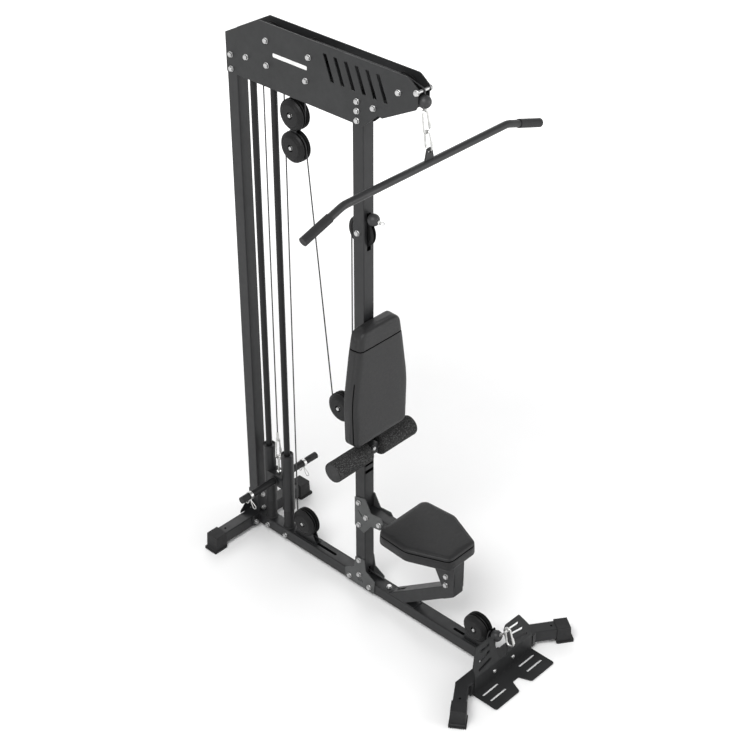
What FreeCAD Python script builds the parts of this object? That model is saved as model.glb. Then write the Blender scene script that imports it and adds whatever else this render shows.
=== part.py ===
import FreeCAD, Part
import math
import os

# Lat pulldown machine with a plate-loaded carriage, in millimetres.
# Everything is drawn from the front column's centre line: +Y runs to the rear post, -Y to the
# foot plate, +Z up from the floor. export() moves it by COLUMN_Y, so that the origin is the
# middle of the footprint.

V = FreeCAD.Vector

# ---- driving dimensions ------------------------------------------------------------------
COLUMN_Y = 87.75         # place of the front column along Y once exported

TUBE = 50.0              # square frame tube
WALL = 2.5
TUBE_CORNER = 4.0
HALF = TUBE / 2
PLATE = 3.0              # thickness of the bolted side plates
PLATE_OUT = HALF + PLATE
RAIL_Z0 = 17.0           # underside of the base tubes
RAIL_Z1 = RAIL_Z0 + TUBE
RAIL_MID_Z = RAIL_Z0 + HALF

REAR_Y = 593.0           # rear post and rear foot bar
FRONT_BAR_Y = -666.0     # front cross bar
REAR_HALF_WIDTH = 258.0
FLANGE = 4.0             # welded end flanges of the rail

LEG_BEND_X = 198.0
LEG_ANGLE = 35.0         # how far each front leg splays forward, degrees
LEG_LENGTH = 142.0       # from the bend to the outer face of its foot cap
FOOT_BRACKET_X = 168.0   # inner edge of the small plates beside the foot plate

CAP_LENGTH = 52.0
CAP_WALL = 3.5
CAP_FLARE = 14.0

COLUMN_TOP = 2074.0
POST_TOP = 2066.0
HEADER_TOP = 2205.0

PULLEY_R = 57.0          # flange radius
GROOVE_R = 50.0          # centre line of a cable in the groove
CABLE_R = 2.5
PULLEY_HALF = 8.0
GROOVE_HALF = 3.6
AXLE_R = 5.0
RUN_GAP = 0.08           # radial clearance of a running fit
EAR_IN = 8.7             # inner face of a pulley bracket's ear
EAR = 3.0
COVER_IN = EAR_IN + EAR + 0.1
COVER_OUT = 27.0
COVER_R = 56.0

ROD_R = 12.0             # guide rods
ROD_REAR_Y = 516.0
ROD_FRONT_Y = 416.0
LIFT_Y = (ROD_REAR_Y + ROD_FRONT_Y) / 2
ROD_TOP = 2068.0
ROD_BOLT_Z = 35.5

HEADER_AXLE_Z = 2141.0
HEADER_REAR_Y = LIFT_Y - GROOVE_R
FLOAT_Y = HEADER_REAR_Y - 2 * GROOVE_R
HEADER_MID_Y = FLOAT_Y - 2 * GROOVE_R
HEADER_FRONT_Y = -179.0
FLOAT_UPPER_Z = 1901.0
FLOAT_LOWER_Z = 1781.0
CROSS_ROD_Y = -255.5
CROSS_ROD_Z = 2163.0
CROSS_ROD_R = 6.0

LOW_AXLE_Z = 147.0
LOW_REAR_Y = FLOAT_Y
LOW_FRONT_Y = -569.0
MID_LOWER_Y = 108.0
MID_LOWER_Z = 802.0
COLUMN_PULLEY_Y = 5.0
COLUMN_PULLEY_Z = 1572.0

BALL_R = 22.0
STOP_NOTCH_R = 7.0
LOW_BALL = (-655.0, 156.0)       # Y, Z of the ball stop at the foot plate
MID_BALL = (-46.5, 1632.0)       # Y, Z of the ball stop on the column
LAT_Y = CROSS_ROD_Y - CROSS_ROD_R - CABLE_R
LAT_BALL_Z = 2128.0

SLEEVE_R = 25.0
SLEEVE_BORE_R = 21.0
SLEEVE_Z0 = 158.0
SLEEVE_Z1 = 425.0
BUMPER_R = 21.0

HORN_R = 14.0
HORN_Z = 285.0
HORN_HALF = 203.0
HORN_CAP_X = 168.0
COLLAR_LEFT_X = -157.0
COLLAR_RIGHT_X = 133.0
LIFT_FERRULE_Z = 506.0

BAR_R = 13.0
BAR_Y = -286.0
BAR_Z = 1926.0
BAR_BEND_X = 386.0
BAR_END_X = 555.0
BAR_END_Z = 1872.0
GRIP_R = 15.5
GRIP_LENGTH = 115.0

SEAT_TOP = 457.0
SEAT_BOTTOM = 401.0
ARM_Z0 = 350.0
ARM_Z1 = ARM_Z0 + TUBE
ARM_FRONT = -469.0
BRACE_ANGLE = 36.0
BRACE_POINT = (-231.0, 100.0)    # a point of the brace's centre line, Y and Z

PAD_REAR = -31.0
PAD_FRONT = -86.0
ROLLER_Y = -38.0
ROLLER_Z = 684.0
ROLLER_R = 39.5
ROLLER_IN = 28.0
ROLLER_OUT = 205.0
ROLLER_TUBE_R = 10.0
HOLDER_FACE = -49.0
HOLDER_BOLT_X = -8.0
HOLDER_BOLT_Z = 697.0

HOLE_GAP = 0.3           # radial play of a bolt in its hole


# ---- drawing helpers ---------------------------------------------------------------------
def box(x0, x1, y0, y1, z0, z1):
    return Part.makeBox(x1 - x0, y1 - y0, z1 - z0, V(x0, y0, z0))


def rod(start, end, radius):
    axis = end.sub(start)
    return Part.makeCylinder(radius, axis.Length, start, axis)


def rod_x(x0, x1, y, z, radius):
    return rod(V(x0, y, z), V(x1, y, z), radius)


def rod_y(y0, y1, x, z, radius):
    return rod(V(x, y0, z), V(x, y1, z), radius)


def rod_z(z0, z1, x, y, radius):
    return rod(V(x, y, z0), V(x, y, z1), radius)


def fuse(shapes):
    whole = shapes[0].multiFuse(shapes[1:]) if len(shapes) > 1 else shapes[0]
    return whole.removeSplitter()


def group(shapes):
    return Part.makeCompound(shapes)


def run_edges(points, radii, closed):
    # straight runs through the points, each corner rounded by a tangent arc
    count = len(points)
    starts = []
    ends = []
    arcs = []
    for i, corner in enumerate(points):
        if (not closed and i in (0, count - 1)) or radii[i] <= 0:
            starts.append(corner)
            ends.append(corner)
            arcs.append(None)
            continue
        back = points[i - 1].sub(corner).normalize()
        ahead = points[(i + 1) % count].sub(corner).normalize()
        half = back.getAngle(ahead) / 2
        reach = radii[i] / math.tan(half)
        middle = back.add(ahead).normalize().multiply(radii[i] / math.sin(half) - radii[i])
        start = corner.add(V(back).multiply(reach))
        end = corner.add(V(ahead).multiply(reach))
        starts.append(start)
        ends.append(end)
        arcs.append(Part.Arc(start, corner.add(middle), end).toShape())
    edges = []
    for i in range(count):
        if arcs[i]:
            edges.append(arcs[i])
        if i == count - 1 and not closed:
            break
        after = starts[(i + 1) % count]
        if ends[i].distanceToPoint(after) > 1e-6:
            edges.append(Part.LineSegment(ends[i], after).toShape())
    return edges


def outline(points, radius):
    radii = radius if isinstance(radius, list) else [radius] * len(points)
    return Part.Face(Part.Wire(run_edges(points, radii, True)))


def plate_x(points, x0, x1, radius=0.0):
    # a plate whose outline is drawn in Y and Z
    return outline([V(x0, y, z) for y, z in points], radius).extrude(V(x1 - x0, 0, 0))


def plate_y(points, y0, y1, radius=0.0):
    # a plate whose outline is drawn in X and Z
    return outline([V(x, y0, z) for x, z in points], radius).extrude(V(0, y1 - y0, 0))


def plate_z(points, z0, z1, radius=0.0):
    # a plate whose outline is drawn in X and Y
    return outline([V(x, y, z0) for x, y in points], radius).extrude(V(0, 0, z1 - z0))


def mirrored(points):
    # completes an outline drawn for +X with its mirror image
    return points + [(-x, other) for x, other in reversed(points)]


def wire_sweep(edges, radius):
    path = Part.Wire(Part.__sortEdges__(edges))
    first = path.Edges[0]
    start = first.valueAt(first.FirstParameter)
    if path.Vertexes and first.Orientation == "Reversed":
        start = first.valueAt(first.LastParameter)
    tangent = first.tangentAt(first.FirstParameter)
    circle = Part.Wire(Part.makeCircle(radius, start, tangent))
    solid = path.makePipeShell([circle], True, True)
    return solid


def ring_sweep(points, radii, radius):
    # a closed wire ring: round bar bent along a rounded outline
    return wire_sweep(run_edges(points, radii, True), radius)


def square_profile(centre, along, up, size, corner):
    side = along.cross(up).normalize()
    h = size / 2
    corners = []
    for a, b in ((1, 1), (-1, 1), (-1, -1), (1, -1)):
        corners.append(centre.add(V(side).multiply(a * h)).add(V(up).multiply(b * h)))
    return outline(corners, corner)


def square_bar(start, end, up, size, corner):
    along = end.sub(start)
    return square_profile(start, V(along).normalize(), up, size, corner).extrude(along)


def square_tube(start, end, up):
    outer = square_bar(start, end, up, TUBE, TUBE_CORNER)
    inner = square_bar(start, end, up, TUBE - 2 * WALL, TUBE_CORNER - WALL)
    return outer.cut(inner)


def half_space(point, normal, size=2000.0):
    # the block that fills everything on the normal's side of a plane
    block = Part.makeBox(size, size, size, V(-size / 2, -size / 2, 0))
    block.Placement = FreeCAD.Placement(point, FreeCAD.Rotation(V(0, 0, 1), normal))
    return block


def slot_cut(start, end, radius, along):
    # a round-ended slot cut along a direction
    side = end.sub(start)
    deep = V(along)
    across = V(side).normalize().cross(V(along).normalize()).multiply(radius)
    face = Part.Face(Part.Wire(Part.__sortEdges__([
        Part.LineSegment(start.add(across), end.add(across)).toShape(),
        Part.Arc(end.add(across), end.add(V(side).normalize().multiply(radius)), end.sub(across)).toShape(),
        Part.LineSegment(end.sub(across), start.sub(across)).toShape(),
        Part.Arc(start.sub(across), start.sub(V(side).normalize().multiply(radius)),
                 start.add(across)).toShape(),
    ])))
    return face.extrude(deep)


def turned(points, start, axis):
    # a solid turned from a closed profile given as (radius, height) pairs
    corners = []
    across = V(0, 0, 1) if abs(axis.z) < 0.5 else V(1, 0, 0)
    for radius, height in points:
        corners.append(start.add(V(across).multiply(radius)).add(V(axis).multiply(height)))
    face = Part.Face(Part.makePolygon(corners + [corners[0]]))
    return face.revolve(start, axis, 360)


# ---- fasteners and the holes they need ------------------------------------------------------
BOLT_R = 5.0
HEX_R = 9.6
HEAD_HEIGHT = 6.5
WASHER_R = 10.5
WASHER = 1.6
COVER_BOLT_HALF = 21.0   # seats in the recess of a pulley cover
COVER_HEX_R = 7.4

# Y, Z and half length of every bolt that runs along X
HEADER_BOLTS = [
    (REAR_Y, 2041.0, PLATE_OUT), (REAR_Y, 1989.0, PLATE_OUT),
    (ROD_REAR_Y, 2053.5, PLATE_OUT), (ROD_FRONT_Y, 2053.5, PLATE_OUT),
    (HEADER_REAR_Y, HEADER_AXLE_Z, PLATE_OUT), (HEADER_MID_Y, HEADER_AXLE_Z, PLATE_OUT),
    (HEADER_FRONT_Y, HEADER_AXLE_Z, PLATE_OUT), (232.0, 2054.0, PLATE_OUT),
    (0.0, 2055.0, PLATE_OUT), (0.0, 2022.0, PLATE_OUT), (0.0, 1988.0, PLATE_OUT),
    (-72.0, 2054.0, PLATE_OUT), (CROSS_ROD_Y, CROSS_ROD_Z, PLATE_OUT),
]
UPPER_STAR_BOLTS = [(4.0, 426.0), (-33.0, 374.0), (3.0, 322.0), (-100.0, 375.0)]
LOWER_STAR_BOLTS = [(3.5, 146.0), (4.0, 75.0), (56.0, 40.5), (-49.0, 40.5)]
SEAT_PLATE_BOLTS = [(-433.0, 323.0), (-433.0, 283.0), (-433.0, 375.0), (-385.0, 375.0)]
SIDE_BOLTS = (
    HEADER_BOLTS
    + [(y, z, PLATE_OUT) for y, z in UPPER_STAR_BOLTS + LOWER_STAR_BOLTS + SEAT_PLATE_BOLTS]
    + [(y, ROD_BOLT_Z, HALF) for y in (ROD_REAR_Y, ROD_FRONT_Y)]
    + [(COLUMN_PULLEY_Y, COLUMN_PULLEY_Z, HALF)]
    + [(LOW_REAR_Y, LOW_AXLE_Z, COVER_BOLT_HALF), (LOW_FRONT_Y, LOW_AXLE_Z, COVER_BOLT_HALF)]
    + [(MID_LOWER_Y, MID_LOWER_Z, COVER_BOLT_HALF)]
    + [(FLOAT_Y, FLOAT_UPPER_Z, COVER_BOLT_HALF), (FLOAT_Y, FLOAT_LOWER_Z, COVER_BOLT_HALF)]
)
# X, Z, first and last Y of the bolts that run along Y
POST_BRACKET_Y = REAR_Y + HALF + 0.3
REAR_BOLTS = [
    (-45.0, 35.0, REAR_Y - HALF - FLANGE, REAR_Y + HALF),
    (45.0, 35.0, REAR_Y - HALF - FLANGE, REAR_Y + HALF),
    (0.0, 80.0, REAR_Y - HALF, POST_BRACKET_Y + FLANGE),
    (0.0, 147.0, REAR_Y - HALF, POST_BRACKET_Y + FLANGE),
]
BRACE_BOLT_Y = -128.0
FOOT_SCREW_X = 52.0
FOOT_SCREW_Z = 44.5
BRACKET_BOLTS = [LOW_REAR_Y + 45.0, LOW_REAR_Y - 45.0, LOW_FRONT_Y + 45.0, LOW_FRONT_Y - 45.0]


def hexagon(start, axis, height, size=HEX_R):
    # a hexagon head or nut with its corners turned off
    side = V(0, 0, 1) if abs(axis.z) < 0.5 else V(0, 1, 0)
    corners = []
    for i in range(7):
        turn = FreeCAD.Rotation(axis, 60.0 * i)
        corners.append(start.add(turn.multVec(V(side).multiply(size))))
    prism = Part.Face(Part.makePolygon(corners)).extrude(V(axis).multiply(height))
    dome = turned([(0, 0), (size, 0), (size, height * 0.8), (size * 0.84, height), (0, height)], start, axis)
    return prism.common(dome)


def bolt(start, end, size=HEX_R, washer_radius=WASHER_R):
    # a hexagon bolt with washers, its head at the start and its nut at the end
    axis = end.sub(start).normalize()
    head_at = start.sub(V(axis).multiply(WASHER))
    tail = end.add(V(axis).multiply(WASHER + HEAD_HEIGHT + 3.0))
    shank = rod(start.sub(V(axis).multiply(WASHER)), tail, BOLT_R)
    washer = rod(head_at, start, washer_radius)
    screw = fuse([shank, washer, hexagon(head_at, V(axis).multiply(-1), HEAD_HEIGHT, size)])
    washer_end = end.add(V(axis).multiply(WASHER))
    nut = fuse([rod(end, washer_end, washer_radius), hexagon(washer_end, axis, HEAD_HEIGHT + 1.0, size)])
    nut = nut.cut(rod(start, tail, BOLT_R + 0.05))
    return [screw, nut]


def cross_screw(x):
    # a pan-head screw with a cross recess that holds the foot plate
    face = FRONT_BAR_Y - HALF - 4.0
    profile = [(0, 0), (9.0, 0), (8.4, 2.6), (5.5, 4.6), (0, 5.2)]
    head = turned(profile, V(x, face, FOOT_SCREW_Z), V(0, -1, 0))
    for wide, tall in ((5.0, 1.1), (1.1, 5.0)):
        head = head.cut(box(x - wide, x + wide, face - 6, face - 2.4, FOOT_SCREW_Z - tall, FOOT_SCREW_Z + tall))
    return fuse([head, rod_y(face, face + 18.0, x, FOOT_SCREW_Z, 4.0)])


def make_fasteners():
    solids = []
    for y, z, half in SIDE_BOLTS:
        if half == COVER_BOLT_HALF:
            solids += bolt(V(-half, y, z), V(half, y, z), COVER_HEX_R, COVER_HEX_R)
        else:
            solids += bolt(V(-half, y, z), V(half, y, z))
    for x, z, y0, y1 in REAR_BOLTS:
        solids += bolt(V(x, y0, z), V(x, y1, z))
    solids.append(fuse([
        hexagon(V(0, BRACE_BOLT_Y, RAIL_Z1 + FLANGE + WASHER), V(0, 0, 1), HEAD_HEIGHT),
        rod_z(RAIL_Z1 + FLANGE, RAIL_Z1 + FLANGE + WASHER, 0, BRACE_BOLT_Y, WASHER_R),
        rod_z(RAIL_Z1 - 14.0, RAIL_Z1 + FLANGE + WASHER, 0, BRACE_BOLT_Y, BOLT_R),
    ]))
    solids += [cross_screw(-FOOT_SCREW_X), cross_screw(FOOT_SCREW_X)]
    return group(solids)


def drilled(shape):
    # opens the holes for every bolt that passes through a part
    room = shape.BoundBox
    for y, z, half in SIDE_BOLTS:
        if room.YMin - 8 < y < room.YMax + 8 and room.ZMin - 8 < z < room.ZMax + 8:
            shape = shape.cut(rod_x(-60, 60, y, z, BOLT_R + HOLE_GAP))
    for x, z, y0, y1 in REAR_BOLTS:
        if room.YMax > y0 and room.YMin < y1 and room.ZMin < z < room.ZMax:
            shape = shape.cut(rod_y(y0 - 1, y1 + 1, x, z, BOLT_R + HOLE_GAP))
    if room.YMin < BRACE_BOLT_Y < room.YMax and room.ZMin < RAIL_Z1 + FLANGE:
        shape = shape.cut(rod_z(RAIL_Z1 - 15, RAIL_Z1 + 6, 0, BRACE_BOLT_Y, BOLT_R + HOLE_GAP))
    return shape


# ---- base ----------------------------------------------------------------------------------
def make_base_rail():
    y0 = FRONT_BAR_Y + HALF
    y1 = REAR_Y - HALF
    rail = square_tube(V(0, y0 + FLANGE, RAIL_MID_Z), V(0, y1 - FLANGE, RAIL_MID_Z), V(0, 0, 1))
    ear = mirrored([(65.0, RAIL_Z0), (65.0, RAIL_Z1)])
    rear = plate_y(ear, y1 - FLANGE, y1, 14.0)
    front = plate_y(mirrored([(40.0, RAIL_Z0), (40.0, RAIL_Z1)]), y0, y0 + FLANGE, 8.0)
    # the plate with an open notch that the low ball stop pulls up against
    y2 = LOW_BALL[0] + math.sqrt(BALL_R ** 2 - STOP_NOTCH_R ** 2) + 0.1
    stop = plate_y(mirrored([(24.0, RAIL_Z1 - 0.4), (24.0, 150.0), (17.0, 172.0)]), y2, y2 + 4.0, 4.0)
    notch_z = LOW_BALL[1] - BALL_R
    stop = stop.cut(slot_cut(V(0, y2 - 6, notch_z), V(0, y2 - 6, 200.0), STOP_NOTCH_R, V(0, 16, 0)))
    rail = fuse([rail, rear, front, stop])
    for y in (ROD_REAR_Y, ROD_FRONT_Y):
        rail = rail.cut(rod_z(RAIL_Z1 - 6, RAIL_Z1 + 6, 0, y, ROD_R + HOLE_GAP))
    for near, far in ((LOW_REAR_Y - 20.0, 160.0), (LOW_FRONT_Y + 20.0, -460.0)):
        rail = rail.cut(slot_cut(V(0, near, RAIL_Z1 - 6), V(0, far, RAIL_Z1 - 6), 6.0, V(0, 0, 12)))
    return drilled(rail)


def make_rear_foot_bar():
    end = REAR_HALF_WIDTH - CAP_WALL
    bar = square_tube(V(-end, REAR_Y, RAIL_MID_Z), V(end, REAR_Y, RAIL_MID_Z), V(0, 0, 1))
    for side in (-1, 1):
        bar = bar.cut(rod_z(RAIL_Z1 - 6, RAIL_Z1 + 6, side * 186.0, REAR_Y, 4.5))
    back = plate_y(mirrored([(79.0, RAIL_Z1 - 0.5), (76.0, 76.0), (24.0, 128.0), (24.0, 166.0)]),
                   POST_BRACKET_Y, POST_BRACKET_Y + FLANGE, 2.0)
    foot = box(-60.0, 60.0, POST_BRACKET_Y - 8.0, POST_BRACKET_Y + FLANGE, RAIL_Z1 - 0.5, RAIL_Z1)
    foot = foot.cut(box(-26.0, 26.0, 0, POST_BRACKET_Y, 0, 200.0))
    return drilled(fuse([bar, back, foot]))


def leg_path(side):
    bend = V(side * LEG_BEND_X, FRONT_BAR_Y, RAIL_MID_Z)
    turn = math.radians(LEG_ANGLE)
    way = V(side * math.cos(turn), -math.sin(turn), 0)
    return bend, way


def leg_solid(side, size, corner):
    # half of the cross bar and one splayed leg, mitred where they meet
    bend, way = leg_path(side)
    up = V(0, 0, 1)
    inner = square_bar(V(0, FRONT_BAR_Y, RAIL_MID_Z), bend.add(V(side * 60, 0, 0)), up, size, corner)
    reach = LEG_LENGTH - CAP_WALL
    outer = square_bar(bend.sub(V(way).multiply(60)), bend.add(V(way).multiply(reach)), up, size, corner)
    normal = V(side, 0, 0).add(way).normalize()
    inner = inner.cut(half_space(bend, normal))
    outer = outer.cut(half_space(bend, V(normal).multiply(-1)))
    return fuse([inner, outer])


def make_front_foot_bar():
    outer = fuse([leg_solid(1, TUBE, TUBE_CORNER), leg_solid(-1, TUBE, TUBE_CORNER)])
    size = TUBE - 2 * WALL
    inner = fuse([leg_solid(1, size, TUBE_CORNER - WALL), leg_solid(-1, size, TUBE_CORNER - WALL)])
    bar = outer.cut(inner)
    for side in (-1, 1):
        bend, way = leg_path(side)
        at = bend.add(V(way).multiply(74.0))
        bar = bar.cut(rod_z(RAIL_Z1 - 6, RAIL_Z1 + 6, at.x, at.y, 4.5))
        bar = bar.cut(rod_y(FRONT_BAR_Y - 30, FRONT_BAR_Y - 15, side * FOOT_SCREW_X, FOOT_SCREW_Z, 4.0 + HOLE_GAP))
        x = side * FOOT_BRACKET_X
        front = FRONT_BAR_Y - HALF
        bar = fuse([bar, box(min(x, x + side * 16.0), max(x, x + side * 16.0), front - 4.0, front, 14.0, 66.0)])
    return bar


def foot_cap():
    # plastic foot for a tube end that points along +X; the outer face of its top is at X = 0
    half = HALF + CAP_WALL
    top = RAIL_Z1 + CAP_WALL
    side = [(-CAP_LENGTH, top), (0.0, top), (4.0, 12.0), (9.0, 8.0), (9.0, 0.0), (-CAP_LENGTH, 0.0)]
    body = plate_y(side, -half, half)
    edge = half + 4.0
    base = box(-CAP_LENGTH, CAP_FLARE + 1.0, -edge, edge, 0.0, 8.5)
    base = base.makeFillet(6.0, [e for e in base.Edges if abs(e.tangentAt(e.FirstParameter).z) > 0.9])
    cap = fuse([body, base])
    for i in range(8):
        y = -half + 2.0 + i * (2 * half - 4.0) / 7
        cap = cap.cut(box(CAP_FLARE - 2.0, CAP_FLARE + 4.0, y - 2.0, y + 2.0, -1.0, 6.0))
    hollow = square_bar(V(-CAP_LENGTH - 1, 0, RAIL_MID_Z), V(-CAP_WALL, 0, RAIL_MID_Z), V(0, 0, 1),
                        TUBE, TUBE_CORNER)
    return cap.cut(hollow)


def placed_cap(point, direction):
    cap = foot_cap()
    angle = math.degrees(math.atan2(direction.y, direction.x))
    cap.rotate(V(0, 0, 0), V(0, 0, 1), angle)
    cap.translate(V(point.x, point.y, 0))
    return cap


def make_rear_foot_caps():
    return group([placed_cap(V(side * REAR_HALF_WIDTH, REAR_Y, 0), V(side, 0, 0)) for side in (-1, 1)])


def make_front_foot_caps():
    caps = []
    for side in (-1, 1):
        bend, way = leg_path(side)
        caps.append(placed_cap(bend.add(V(way).multiply(LEG_LENGTH)), way))
    return group(caps)


FOOT_PLATE_Y = FRONT_BAR_Y - HALF       # rear face of the upright part
FOOT_PLATE_FRONT = -801.0
FOOT_BEND_Z = 85.0
FOOT_LEAN = 0.35                        # how far the top leans back for each mm of height


def make_foot_plate():
    top_z = 186.0
    lean = FOOT_LEAN * (top_z - FOOT_BEND_Z)
    near = FOOT_PLATE_Y - 4.0
    sheet = plate_x([(FOOT_PLATE_FRONT, 3.0), (FOOT_PLATE_Y, 3.0), (FOOT_PLATE_Y, FOOT_BEND_Z),
                     (FOOT_PLATE_Y + lean, top_z), (near + lean, top_z), (near, FOOT_BEND_Z),
                     (near, 7.0), (FOOT_PLATE_FRONT, 7.0)], -175.0, 175.0)
    upright = [(165.0, 2.0), (158.0, 123.0), (122.0, 181.0), (44.0, 182.0), (30.0, 168.0),
               (26.0, 100.0), (14.0, 80.0)]
    front = plate_y(mirrored(upright), near - 1.0, FOOT_PLATE_Y + lean + 1.0, 5.0)
    floor = mirrored([(165.0, FOOT_PLATE_Y + 0.5), (165.0, FOOT_PLATE_FRONT), (36.0, FOOT_PLATE_FRONT),
                      (17.0, FOOT_PLATE_FRONT + 48.0)])
    corner = [0.0, 9.0, 9.0, 6.0, 6.0, 9.0, 9.0, 0.0]
    flat = outline([V(x, y, 2.0) for x, y in floor], corner).extrude(V(0, 0, 6.0))
    plate = fuse([sheet.common(front), sheet.common(flat)])
    deep = V(0, 60.0, 0)
    for side in (-1, 1):
        for inner, outer in (((60.0, 161.0), (103.0, 158.0)), ((65.0, 138.0), (118.0, 129.0)),
                             ((67.0, 111.0), (131.0, 101.0))):
            a = V(side * inner[0], near - 10.0, inner[1])
            b = V(side * outer[0], near - 10.0, outer[1])
            plate = plate.cut(slot_cut(a, b, 5.2, deep))
        for y in (-720.0, -757.0):
            plate = plate.cut(slot_cut(V(side * 64.0, y, 0), V(side * 141.0, y, 0), 4.5, V(0, 0, 12)))
        plate = plate.cut(rod_y(near - 2, FOOT_PLATE_Y + 2, side * FOOT_SCREW_X, FOOT_SCREW_Z, 4.0 + HOLE_GAP))
    return plate


# ---- uprights and header -------------------------------------------------------------------
def make_rear_post():
    post = square_tube(V(0, REAR_Y, RAIL_Z1), V(0, REAR_Y, POST_TOP), V(0, 1, 0))
    return drilled(post)


def make_front_column():
    column = square_tube(V(0, 0, RAIL_Z1), V(0, 0, COLUMN_TOP), V(0, 1, 0))
    slots = [
        (9.0, COLUMN_PULLEY_Z - 66.0, COLUMN_PULLEY_Z + 78.0),   # for the pulley in the column
        (6.0, 84.0, 116.0),                                      # for the row cable
    ]
    for half, z0, z1 in slots:
        column = column.cut(box(-half, half, -HALF - 2, HALF + 2, z0, z1))
    for i in range(3):                                           # rungs for the thigh roller holder
        z = 576.0 + 33.0 * i
        column = column.cut(box(-22.0, 22.0, -HALF - 2, -HALF + WALL + 1, z - 7.5, z + 7.5))
    return drilled(column)


def header_outline():
    return [(616.0, 1974.0), (616.0, 2117.0), (450.0, HEADER_TOP), (-221.0, HEADER_TOP),
            (-260.0, 2176.0), (-260.0, 2118.0), (-252.0, 2104.0), (-110.0, 2030.0), (-90.0, 2033.0),
            (-26.0, 1974.0)]


def make_header_plate(side):
    corner = [3.0, 3.0, 3.0, 26.0, 8.0, 6.0, 6.0, 6.0, 6.0, 10.0]
    x0 = HALF if side > 0 else -PLATE_OUT
    points = [V(x0, y, z) for y, z in header_outline()]
    plate = outline(points, corner).extrude(V(PLATE, 0, 0))
    for i in range(6):                                           # slanted lightening slots
        top = 143.7 - 47.06 * i
        low = top - 34.7
        slot = [(top - 8.5, 2176.0), (top + 8.5, 2176.0), (low + 8.5, 2086.0), (low - 8.5, 2086.0)]
        plate = plate.cut(plate_x(slot, x0 - 2, x0 + PLATE + 2, 3.0))
    return drilled(plate)


def make_header_spacers():
    # tubes that keep the header plates apart on the pulley axles and on the two tie bolts
    solids = []
    for y in (HEADER_REAR_Y, HEADER_MID_Y, HEADER_FRONT_Y):
        for side in (-1, 1):
            tube = rod_x(min(side * EAR_IN, side * HALF), max(side * EAR_IN, side * HALF), y, HEADER_AXLE_Z, 9.0)
            solids.append(tube.cut(rod_x(-60, 60, y, HEADER_AXLE_Z, BOLT_R + 0.2)))
    for y, z, radius in ((232.0, 2054.0, 9.0), (-72.0, 2054.0, 9.0), (CROSS_ROD_Y, CROSS_ROD_Z, CROSS_ROD_R)):
        solids.append(rod_x(-HALF, HALF, y, z, radius).cut(rod_x(-60, 60, y, z, BOLT_R + 0.2)))
    return group(solids)


def make_guide_rods():
    return group([drilled(rod_z(RAIL_Z0 + WALL + 1.0, ROD_TOP, 0, y, ROD_R)) for y in (ROD_REAR_Y, ROD_FRONT_Y)])


def make_rod_bumpers():
    bore = ROD_R + 0.3
    top = SLEEVE_Z0 - 0.4
    profile = [(bore, 0), (BUMPER_R + 4.0, 0), (BUMPER_R + 4.0, 3.0), (BUMPER_R, 5.0),
               (BUMPER_R, top - RAIL_Z1 - 2.0), (BUMPER_R - 2.0, top - RAIL_Z1), (bore, top - RAIL_Z1)]
    return group([turned(profile, V(0, y, RAIL_Z1), V(0, 0, 1)) for y in (ROD_REAR_Y, ROD_FRONT_Y)])


def both_sides(make):
    return group([make(-PLATE_OUT, -HALF), make(HALF, PLATE_OUT)])


def make_upper_star_plates():
    points = [(25.0, 445.0), (-27.0, 459.0), (-57.0, 406.0), (-109.0, 410.0), (-121.0, 394.0),
              (-105.0, 352.0), (-57.0, 344.0), (-22.0, 294.0), (25.0, 310.0)]

    def one(x0, x1):
        plate = plate_x(points, x0, x1, 5.0)
        for i in range(3):
            a = V(x0 - 1, -1.0 - 7.5 * i + 9.0, 385.0 - 7.0 * i + 4.0)
            b = V(x0 - 1, a.y - 10.0, a.z - 14.0)
            plate = plate.cut(slot_cut(a, b, 1.6, V(6, 0, 0)))
        return drilled(plate)
    return both_sides(one)


def make_lower_star_plates():
    points = [(24.0, 155.0), (-22.0, 160.0), (-30.0, 106.0), (-78.0, 80.0), (-72.0, 19.0),
              (76.0, 19.0), (80.0, 68.0), (30.0, 98.0)]

    def one(x0, x1):
        plate = plate_x(points, x0, x1, 5.0)
        for i in range(3):
            a = V(x0 - 1, 12.0 - 10.0 * i, 55.0)
            b = V(x0 - 1, a.y - 6.0, 43.0)
            plate = plate.cut(slot_cut(a, b, 1.8, V(6, 0, 0)))
        return drilled(plate)
    return both_sides(one)


# ---- seat -----------------------------------------------------------------------------------
def make_seat_arm():
    mid = ARM_Z0 + HALF
    arm = square_tube(V(0, -HALF, mid), V(0, ARM_FRONT + 3.0, mid), V(0, 0, 1))
    end = square_bar(V(0, ARM_FRONT + 3.0, mid), V(0, ARM_FRONT, mid), V(0, 0, 1), TUBE, TUBE_CORNER)
    return drilled(fuse([arm, end]))


def brace_solid(size, corner, trim):
    # the inclined brace and its short post, cut off at the arm, the front face and the flange
    turn = math.radians(BRACE_ANGLE)
    way = V(0, -math.cos(turn), math.sin(turn))
    up = V(0, math.sin(turn), math.cos(turn))
    point = V(0, BRACE_POINT[0], BRACE_POINT[1])
    incline = square_bar(point.sub(V(way).multiply(140)), point.add(V(way).multiply(420)), up, size, corner)
    post_y = ARM_FRONT + HALF
    post = square_bar(V(0, post_y, 150.0), V(0, post_y, ARM_Z0), V(0, 1, 0), size, corner)
    under = point.sub(V(up).multiply(size / 2))
    post = post.cut(half_space(under, V(up).multiply(-1)))
    incline = incline.cut(half_space(V(0, ARM_FRONT + trim, 0), V(0, -1, 0)))
    incline = incline.cut(half_space(V(0, 0, RAIL_Z1 + FLANGE), V(0, 0, -1)))
    incline = incline.cut(box(-60, 60, -700, post_y + size / 2 - 0.01, ARM_Z0 - 60, 900))
    return fuse([incline, post])


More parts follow.
